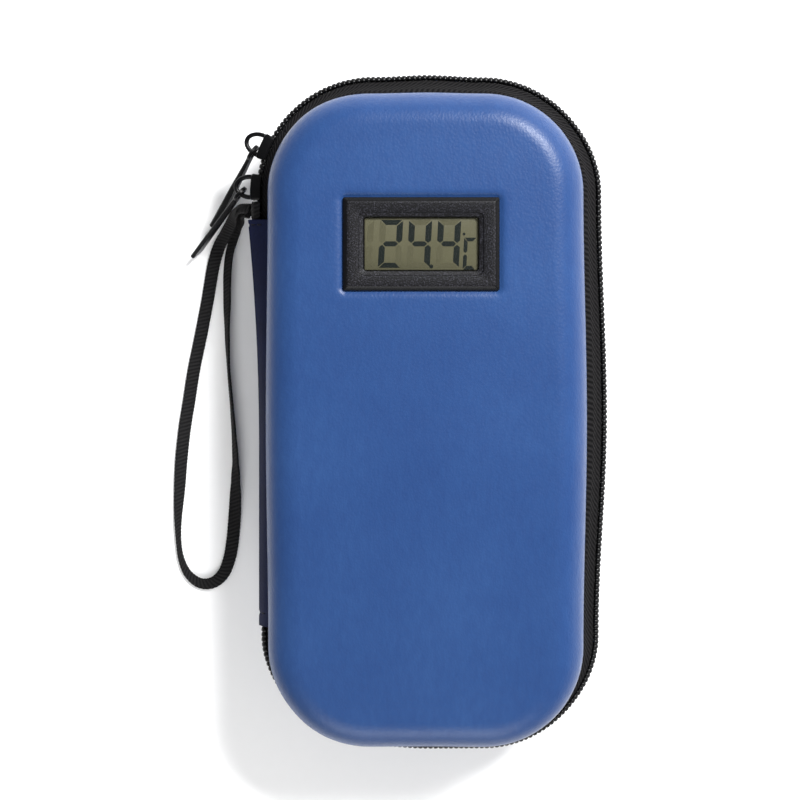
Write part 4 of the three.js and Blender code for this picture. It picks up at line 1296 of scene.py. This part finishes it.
def segment_shapes(left, bottom, width, height, thick, flat):
    """The seven bars of a digit, each a six-cornered outline, by their usual letters."""
    right = left + width
    top = bottom + height
    middle = (bottom + top) / 2
    gap = DIGIT_GAP * thick / DIGIT_THICK
    bevel = flat / 2

    def edge_bar(edge, away):
        inner = edge + away * flat
        return [(left + gap, edge), (right - gap, edge), (right - thick, inner), (left + thick, inner)]

    def side_bar(outer, inner, edge, away):
        end = middle - away * gap
        return [
            (outer, edge + away * gap), (outer, end - away * bevel), ((outer + inner) / 2, end),
            (inner, end - away * bevel), (inner, edge + away * (flat + gap)),
        ]

    low = left + thick / 2 + gap
    high = right - thick / 2 - gap
    return {
        "a": edge_bar(top, -1),
        "g": [
            (low, middle), (low + bevel, middle - bevel), (high - bevel, middle - bevel), (high, middle),
            (high - bevel, middle + bevel), (low + bevel, middle + bevel),
        ],
        "d": edge_bar(bottom, 1),
        "f": side_bar(left, left + thick, top, -1),
        "b": side_bar(right, right - thick, top, -1),
        "e": side_bar(left, left + thick, bottom, 1),
        "c": side_bar(right, right - thick, bottom, 1),
    }


def add_plate(points, faces, outline):
    """Adds a thin slanted plate with the given outline to running lists."""
    top = FRONT_FACE_Z + LCD_TOP + SEGMENT_LIFT
    faces += skin(len(points), 2, len(outline))
    for z in (top - SEGMENT_DEPTH, top):
        points += [(METER_X + x + DIGIT_SLANT * y, METER_Y + y, z) for x, y in outline]


def round_outline(place, radius):
    angles = [math.tau * k / POINT_STEPS for k in range(POINT_STEPS)]
    return [(place[0] + radius * math.cos(angle), place[1] + radius * math.sin(angle)) for angle in angles]


def digit_shapes(left):
    return segment_shapes(left, DIGIT_BOTTOM, DIGIT_WIDTH, DIGIT_HEIGHT, DIGIT_THICK, DIGIT_FLAT)


def make_reading():
    lit = ([], [])
    faint = ([], [])
    for left, bars in zip(DIGIT_LEFTS, READING):
        for letter, outline in digit_shapes(left).items():
            add_plate(*(lit if letter in bars else faint), outline)
    first = digit_shapes(DIGIT_LEFTS[0] - DIGIT_WIDTH - DIGIT_THICK)
    for letter in ("b", "c"):
        add_plate(*faint, first[letter])
    add_plate(*lit, round_outline(POINT_PLACE, POINT_RADIUS))
    add_plate(*lit, round_outline(DEGREE_PLACE, POINT_RADIUS * DEGREE_SHARE))
    unit = segment_shapes(UNIT_LEFT, UNIT_BOTTOM, UNIT_WIDTH, UNIT_TOP - UNIT_BOTTOM, UNIT_THICK, UNIT_THICK)
    for letter in ("a", "f", "e", "d"):
        add_plate(*lit, unit[letter])
    dark = segment_material("lcd_dark", *LIT_COLOURS)
    ghost = segment_material("lcd_ghost", *UNLIT_COLOURS)
    dress(face_out(make_object("lcd_reading", *lit, smooth=False)), "lid", dark, "lcd")
    dress(face_out(make_object("lcd_unlit", *faint, smooth=False)), "lid", ghost, "lcd")


def make_meter():
    bezel = loft("bezel", [rounded_ring(*ring) for ring in BEZEL_RINGS], closed=True, sharp=BEZEL_SHARP)
    dress(bezel, "lid", meter_material(), "meter", "thermometer_bezel")
    bezel.data.materials.append(slope_material())
    edge_x, edge_y = BEZEL_RINGS[BEZEL_SLOPE_RING][:2]
    low = (BEZEL_RINGS[0][3] + BEZEL_RINGS[1][3]) / 2
    for face in bezel.data.polygons:
        x, y, z = face.center / MM
        outside = abs(x - METER_X) > edge_x or abs(y - METER_Y) > edge_y
        face.material_index = int(outside and z - FRONT_FACE_Z > low)
    window = loft("window", [rounded_ring(*ring) for ring in WINDOW_RINGS], sharp=GLASS_SHARP)
    dress(window, "lid", window_material(), "window", "lcd_window")
    panel = loft("lcd_module", [rounded_ring(*ring) for ring in LCD_RINGS], sharp=GLASS_SHARP)
    dress(panel, "lid", lcd_material(), "lcd", "lcd_panel")
    make_reading()


make_meter()


# Pen bands: ribbed elastic, sewn down between three loops

BAND_WIDTH = 16
BAND_HALF_SPAN = 38
BAND_THICKNESS = 0.9
BAND_YS = (44, -44)
BAND_SEWN_END = 1.6
PEN_RADIUS = 9
PEN_PITCH = 25
LOOP_HEIGHT = 15.8
LOOP_STEPS = 26
BAND_NARROWING = 0.7
BAND_RIBS = 9
BAND_RIB = 0.07
BAND_EDGE_POWER = 10
BACK_FLOOR_Z = SHELL_WALL + FOAM_WALL + LINING_WALL + 2 * LAYER_GAP
FRONT_FLOOR_Z = FRONT_FACE_Z - BACK_FLOOR_Z
SEAM_XS = (-PEN_PITCH * 1.5 + 1.2, -PEN_PITCH / 2, PEN_PITCH / 2, PEN_PITCH * 1.5 - 1.2)
SEAM_ROW_HALF = 0.9
SEAM_START = 1.4
SEAM_SPARE = 2
STITCH_PROUD_SHARE = 0.3
STITCH_DIP_SHARE = 1.4


def elastic_material():
    look = Look("knit_elastic", 0.88, Sheen_Weight=0.15, Sheen_Roughness=0.5)
    rib = look.wave(look.coords("UV"), 0.28, 0.3, "X")
    pick = look.wave(look.coords("UV"), 0.4, 0.8, "Y")
    tone = look.mix(rib, 0.6, pick, 0.4)
    stops = [(0.2, (14, 15, 16)), (0.8, (44, 46, 49))]
    return look.finished(tone, stops, (tone, 0.95, 0.8), (tone, 0.2, 0.8))


def band_path():
    """The band's centre line in x and z, and how far up a loop each point stands."""
    flat = BACK_FLOOR_Z + LAYER_GAP + BAND_THICKNESS / 2
    reach = PEN_RADIUS + BAND_THICKNESS / 2
    path = [(-BAND_HALF_SPAN, flat, 0), (-BAND_HALF_SPAN + BAND_SEWN_END, flat, 0)]
    for pen in (-1, 0, 1):
        for i in range(LOOP_STEPS + 1):
            angle = math.pi * (1 - i / LOOP_STEPS)
            rise = math.sin(angle)
            path.append((pen * PEN_PITCH + reach * math.cos(angle), flat + LOOP_HEIGHT * rise, rise))
        if pen < 1:
            path.append((pen * PEN_PITCH + PEN_PITCH / 2, flat, 0))
    return path + [(BAND_HALF_SPAN - BAND_SEWN_END, flat, 0), (BAND_HALF_SPAN, flat, 0)]


def make_band(index, y, material):
    path = band_path()
    line = [Vector((x, 0, z)) for x, z, _ in path]
    rings = []
    uvs = []
    for i, run in enumerate(runs_along(line)):
        along = heading(line, i)
        out = Vector((-along.z, 0, along.x))
        half = BAND_WIDTH / 2 - BAND_NARROWING * path[i][2]
        section = []
        for k in range(2 * BAND_RIBS + 1):
            across = -1 + k / BAND_RIBS
            edge = (1 - abs(across) ** BAND_EDGE_POWER) * BAND_THICKNESS / 2
            section.append((across * half, edge + BAND_RIB * math.cos(k * math.pi) * (abs(across) < 1)))
        section += [(a, -h) for a, h in reversed(section[1:-1])]
        rings.append([line[i] + Vector((0, y + a, 0)) + out * (h - BAND_RIB) for a, h in section])
        uvs.append([(a, run) for a, _ in section])
    band = loft(f"pen_elastic_{index + 1}", rings, uvs=uvs)
    dress(band, "base", material, "elastic", f"pen_band_{index + 1}")


def band_stitches(y):
    """Two rows of thread at each place where the band is sewn to the lining."""
    points = []
    faces = []
    top = BACK_FLOOR_Z + LAYER_GAP + BAND_THICKNESS + STITCH_RADIUS * STITCH_PROUD_SHARE
    for x in (seam + side * SEAM_ROW_HALF for seam in SEAM_XS for side in (-1, 1)):
        for k in range(int((BAND_WIDTH - SEAM_SPARE) / STITCH_PITCH)):
            low = y - BAND_WIDTH / 2 + SEAM_START + k * STITCH_PITCH
            line = []
            for j in range(STITCH_STEPS + 1):
                dip = STITCH_RADIUS * STITCH_DIP_SHARE if j in (0, STITCH_STEPS) else 0
                line.append(Vector((x, low + STITCH_LENGTH * j / STITCH_STEPS, top - dip)))
            add_stitch(points, faces, line)
    return points, faces


def make_bands():
    elastic = elastic_material()
    thread = bpy.data.materials["sewing_thread"]
    for index, y in enumerate(BAND_YS):
        make_band(index, y, elastic)
        stitches = face_out(make_object(f"band_stitches_{index + 1}", *band_stitches(y)))
        dress(stitches, "base", thread, "elastic")


make_bands()


# Gel pack: a crowned film pillow with flat welded edges, held by the mesh pocket of the lid

GEL_HALF_WIDTH = 37
GEL_FROM_Y = -87
GEL_TO_Y = 24
GEL_THICKNESS = 7.6
GEL_WELD = 3
GEL_WELD_HALF = 0.4
GEL_CORNER = 8
GEL_LEAST_CORNER = 1.2
GEL_RISE_LENGTH = 4.2
GEL_INSETS = (0, 0.5, 1.4, 2.4, 3, 3.6, 4.4, 5.4, 6.8, 8.6, 11, 14, 18, 23, 28.5, 34.5)
GEL_ARC_STEPS = 7
GEL_SIDE_STEPS = (26, 18)
PUCKER = 0.35
PUCKER_REACH = 5
PUCKER_WAVES = (2.1, 0.77)


def gel_ring(inset):
    """A rounded rectangle drawn in by inset, always with the same count of points."""
    middle = (GEL_FROM_Y + GEL_TO_Y) / 2
    half_y = (GEL_TO_Y - GEL_FROM_Y) / 2 - inset
    radius = max(GEL_CORNER - inset, GEL_LEAST_CORNER)
    arcs = corner_arcs(GEL_HALF_WIDTH - inset, half_y, radius, GEL_ARC_STEPS)
    ring = []
    for quarter, arc in enumerate(arcs):
        steps = GEL_SIDE_STEPS[quarter % 2]
        x, y = arc[-1]
        next_x, next_y = arcs[(quarter + 1) % len(arcs)][0]
        ring += arc
        ring += [(x + (next_x - x) * k / steps, y + (next_y - y) * k / steps) for k in range(1, steps)]
    return [(x, middle + y) for x, y in ring]


def gel_half(inset, place):
    """Half the pack's thickness at an inset; place counts round the edge."""
    if inset <= GEL_WELD:
        return GEL_WELD_HALF
    reach = inset - GEL_WELD
    rise = 1 - math.exp(-reach / GEL_RISE_LENGTH)
    fast, slow = PUCKER_WAVES
    pucker = PUCKER * math.sin(place * fast) * math.sin(place * slow + 1) * math.exp(-reach / PUCKER_REACH)
    return GEL_WELD_HALF + (GEL_THICKNESS / 2 - GEL_WELD_HALF - PUCKER + pucker) * rise


def gel_material():
    look = Look("gel_film", 0.2, Specular_IOR_Level=0.5, Coat_Weight=0.5, Coat_Roughness=0.08)
    cloud = look.noise(look.coords(), 45, 4, 0.6)
    fold = look.noise(look.coords(scale=(1, 0.4, 1), turn=12), 180, 3, 0.6)
    stops = [(0.3, (120, 165, 196)), (0.7, (163, 197, 218))]
    return look.finished(cloud, stops, (fold, 0.14, 0.32), (fold, 0.5, 0.5))


def make_gel():
    middle = FRONT_FLOOR_Z - LAYER_GAP - GEL_THICKNESS / 2
    under = []
    over = []
    for inset in GEL_INSETS:
        places = [(x, y, gel_half(inset, k)) for k, (x, y) in enumerate(gel_ring(inset))]
        over.append([(x, y, middle + half) for x, y, half in places])
        under.append([(x, y, middle - half) for x, y, half in places])
    pack = dress(loft("gel_pillow", under[::-1] + over), "lid", gel_material(), "gel", "gel_pack")
    return pack


# Mesh pocket: open net inside a bound edge

NET_HALF_WIDTH = 40.6
NET_FROM_Y = -92.6
NET_TO_Y = 32
NET_CORNER = 22
NET_CELL = 2.6
NET_STRAND_SHARE = 0.3
# A cell's hole, as shares of half its width
NET_HOLE = ((-0.55, -1), (0.55, -1), (1, -0.55), (1, 0.55), (0.55, 1), (-0.55, 1), (-1, 0.55), (-1, -0.55))
NET_THICKNESS = 0.36
NET_EDGE_INSET = 1.6
NET_GAP = 0.45
NET_ARC_STEPS = 24
NET_MIDDLE_Y = (NET_FROM_Y + NET_TO_Y) / 2
NET_HALF_LENGTH = (NET_TO_Y - NET_FROM_Y) / 2
BINDING_WIDTH = 5
BINDING_THICKNESS = 1.3
BINDING_STEPS = 300
BINDING_SIDES = 12
BINDING_WEAVE_STEP = 1.3
BINDING_POWERS = (0.5, 0.6)
POCKET_Z = FRONT_FLOOR_Z - 2 * LAYER_GAP - GEL_THICKNESS - NET_GAP


def net_outline(inset):
    """The pocket's rounded rectangle as evenly spaced points."""
    arcs = corner_arcs(NET_HALF_WIDTH - inset, NET_HALF_LENGTH - inset, NET_CORNER - inset, NET_ARC_STEPS)
    line = [Vector((x, NET_MIDDLE_Y + y, 0)) for arc in arcs for x, y in arc]
    return resampled([*line, line[0]], BINDING_STEPS)[:-1]


def inside_net(x, y):
    radius = NET_CORNER - NET_EDGE_INSET
    beyond_x = max(abs(x) - (NET_HALF_WIDTH - NET_CORNER), 0)
    beyond_y = max(abs(y - NET_MIDDLE_Y) - (NET_HALF_LENGTH - NET_CORNER), 0)
    return math.hypot(beyond_x, beyond_y) <= radius


def net_material():
    stops = [(0.2, (22, 23, 25)), (0.8, (52, 53, 57))]
    return plain_material("knit_net", (2400, 3, 0.7), stops, (0.95, 0.8), (0.12, 0.8), 0.9, Sheen_Weight=0.15)


def make_net():
    """Square cells with eight-sided holes, two layers joined round every edge."""
    corner = {}
    points = []
    faces = []

    def at(i, j):
        if (i, j) not in corner:
            corner[(i, j)] = len(points)
            points.append((i * NET_CELL, NET_FROM_Y + j * NET_CELL, POCKET_Z))
        return corner[(i, j)]

    half = NET_CELL * (1 - NET_STRAND_SHARE) / 2
    reach = int(NET_HALF_WIDTH / NET_CELL) + 1
    rows = int((NET_TO_Y - NET_FROM_Y) / NET_CELL) + 1
    for i, j in ((i, j) for i in range(-reach, reach) for j in range(rows)):
        x = (i + 0.5) * NET_CELL
        y = NET_FROM_Y + (j + 0.5) * NET_CELL
        if not inside_net(x, y):
            continue
        ring = [at(i, j), at(i + 1, j), at(i + 1, j + 1), at(i, j + 1)]
        first = len(points)
        points += [(x + across * half, y + along * half, POCKET_Z) for across, along in NET_HOLE]
        for k in range(4):
            a, b = ring[k], ring[(k + 1) % 4]
            c, d = first + 2 * k, first + 2 * k + 1
            faces += [(a, b, d, c), (b, first + (2 * k + 2) % len(NET_HOLE), d)]
    net = make_object("pocket_net", points, faces)
    work = bmesh.new()
    work.from_mesh(net.data)
    area = sum(face.calc_area() for face in work.faces)
    bmesh.ops.recalc_face_normals(work, faces=work.faces)
    bmesh.ops.solidify(work, geom=list(work.faces), thickness=NET_THICKNESS * MM)
    bmesh.ops.recalc_face_normals(work, faces=work.faces)
    work.to_mesh(net.data)
    work.free()
    return net, area


def make_binding():
    """A folded tape round the net's edge."""
    centre = net_outline(BINDING_WIDTH / 2)
    section = []
    for k in range(BINDING_SIDES):
        angle = math.tau * k / BINDING_SIDES
        across = squared(math.cos(angle), BINDING_POWERS[0]) * BINDING_WIDTH / 2
        section.append((across, squared(math.sin(angle), BINDING_POWERS[1]) * BINDING_THICKNESS / 2))
    rings = []
    for i, place in enumerate(centre):
        along = (centre[(i + 1) % len(centre)] - centre[i - 1]).normalized()
        out = Vector((along.y, -along.x, 0))
        rings.append([place + out * across + Vector((0, 0, POCKET_Z + over)) for across, over in section])
    uvs = [[(across, i * BINDING_WEAVE_STEP) for across, _ in section] for i in range(len(centre))]
    return loft("pocket_binding", rings, closed=True, uvs=uvs)


def make_pocket(pack):
    net, area = make_net()
    dress(net, "lid", net_material(), "mesh", "mesh_pocket")
    binding = make_binding()
    dress(binding, "lid", bpy.data.materials["knit_elastic"], "mesh")


make_pocket(make_gel())


# Pieces of the frame that keep their shape and get their finish here

def board_material():
    look = Look("solder_mask", 0.35, Specular_IOR_Level=0.5)
    place = look.coords()
    tracks = look.voronoi(place, 420)
    stops = [(0.3, (22, 78, 48)), (0.6, (30, 98, 62))]
    return look.finished(tracks, stops, (look.noise(place, 600), 0.3, 0.45), (tracks, 0.05, 0.6))


def steel_material():
    look = Look("cell_steel", 0.3, Metallic=1.0)
    brushed = look.noise(look.coords(scale=(1, 8, 1)), 500, 3)
    stops = [(0.2, (176, 178, 178)), (0.8, (204, 205, 205))]
    return look.finished(brushed, stops, (brushed, 0.22, 0.38), (brushed, 0.02, 0.5))


def bead_material():
    stops = [(0.3, (12, 12, 13)), (0.7, (24, 24, 25))]
    return plain_material(
        "epoxy_bead", (700, 2), stops, (0.15, 0.3), (0.04, 0.5), 0.2, Specular_IOR_Level=0.55,
    )


def dress_frame_nodes():
    finishes = (
        (bpy.data.materials["spark_plastic_painted_glints"], ("thermometer_housing", "battery_door")),
        (board_material(), ("circuit_board",)),
        (steel_material(), ("battery_cell_1", "battery_cell_2")),
        (bead_material(), ("temperature_sensor",)),
    )
    for material, nodes in finishes:
        for node in nodes:
            for slot in bpy.data.objects[node].material_slots:
                slot.material = material


dress_frame_nodes()


# Floor and light

FLOOR_HALF = 1500
FLOOR_SHARE = 0.93
FLOOR_GRAIN_SHARE = 0.02
WORLD_STRENGTH = 0.44
GLOW_STRENGTH = 6
GLOW_FOCUS = 2
GLOW_LOWNESS = 6
GLOW_LEAN = (0.6, 0.8)
LIGHT_TARGET = (0, 0, 20)
# Name, place, size and power of each soft box
LIGHTS = (
    ("key", (345, 440, 650), (240, 165), 17),
    ("fill", (-60, -950, 560), (800, 520), 9),
)


def add_floor():
    corners = [(x * FLOOR_HALF, y * FLOOR_HALF, 0) for x, y in ((-1, -1), (1, -1), (1, 1), (-1, 1))]
    floor = make_object("floor", corners, [(0, 1, 2, 3)])
    look = Look("floor_card", 0.9)
    shares = ((0.0, FLOOR_SHARE - FLOOR_GRAIN_SHARE), (1.0, FLOOR_SHARE))
    tone = look.ramp(look.noise(look.coords(), 300), [(place, (share,) * 3) for place, share in shares])
    look.tree.links.new(tone, look.shader.inputs["Base Color"])
    floor.data.materials.append(look.material)


def add_area_light(name, place, size, power):
    data = bpy.data.lights.new(name, "AREA")
    data.shape = "RECTANGLE"
    data.size, data.size_y = (s * MM for s in size)
    data.energy = power
    light = bpy.data.objects.new(name, data)
    light.location = Vector(place) * MM
    aim = Vector(LIGHT_TARGET) - Vector(place)
    light.rotation_euler = aim.to_track_quat("-Z", "Y").to_euler()
    bpy.context.scene.collection.objects.link(light)


def add_world():
    world = bpy.data.worlds.new("studio")
    world.use_nodes = True
    tree = world.node_tree
    background = tree.nodes["Background"]
    background.inputs["Color"].default_value = (1, 1, 1, 1)

    def maths(operation, *terms):
        made = tree.nodes.new("ShaderNodeMath")
        made.operation = operation
        for socket, term in zip(made.inputs, terms):
            if isinstance(term, bpy.types.NodeSocket):
                tree.links.new(term, socket)
            else:
                socket.default_value = term
        return made.outputs[0]

    way = tree.nodes.new("ShaderNodeTexCoord").outputs["Generated"]
    parts = tree.nodes.new("ShaderNodeSeparateXYZ")
    tree.links.new(way, parts.inputs[0])
    across, along = (maths("MULTIPLY", parts.outputs[axis], lean) for axis, lean in zip("XY", GLOW_LEAN))
    side = maths("POWER", maths("MULTIPLY_ADD", maths("ADD", across, along), 0.5, 0.5), GLOW_FOCUS)
    low = maths("POWER", maths("SUBTRACT", 1.0, maths("ABSOLUTE", parts.outputs["Z"])), GLOW_LOWNESS)
    glow = maths("MULTIPLY", maths("MULTIPLY", side, low), GLOW_STRENGTH)
    tree.links.new(maths("ADD", glow, WORLD_STRENGTH), background.inputs["Strength"])
    bpy.context.scene.world = world


add_floor()
add_world()
for light in LIGHTS:
    add_area_light(*light)
bpy.context.scene.view_settings.view_transform = "Standard"
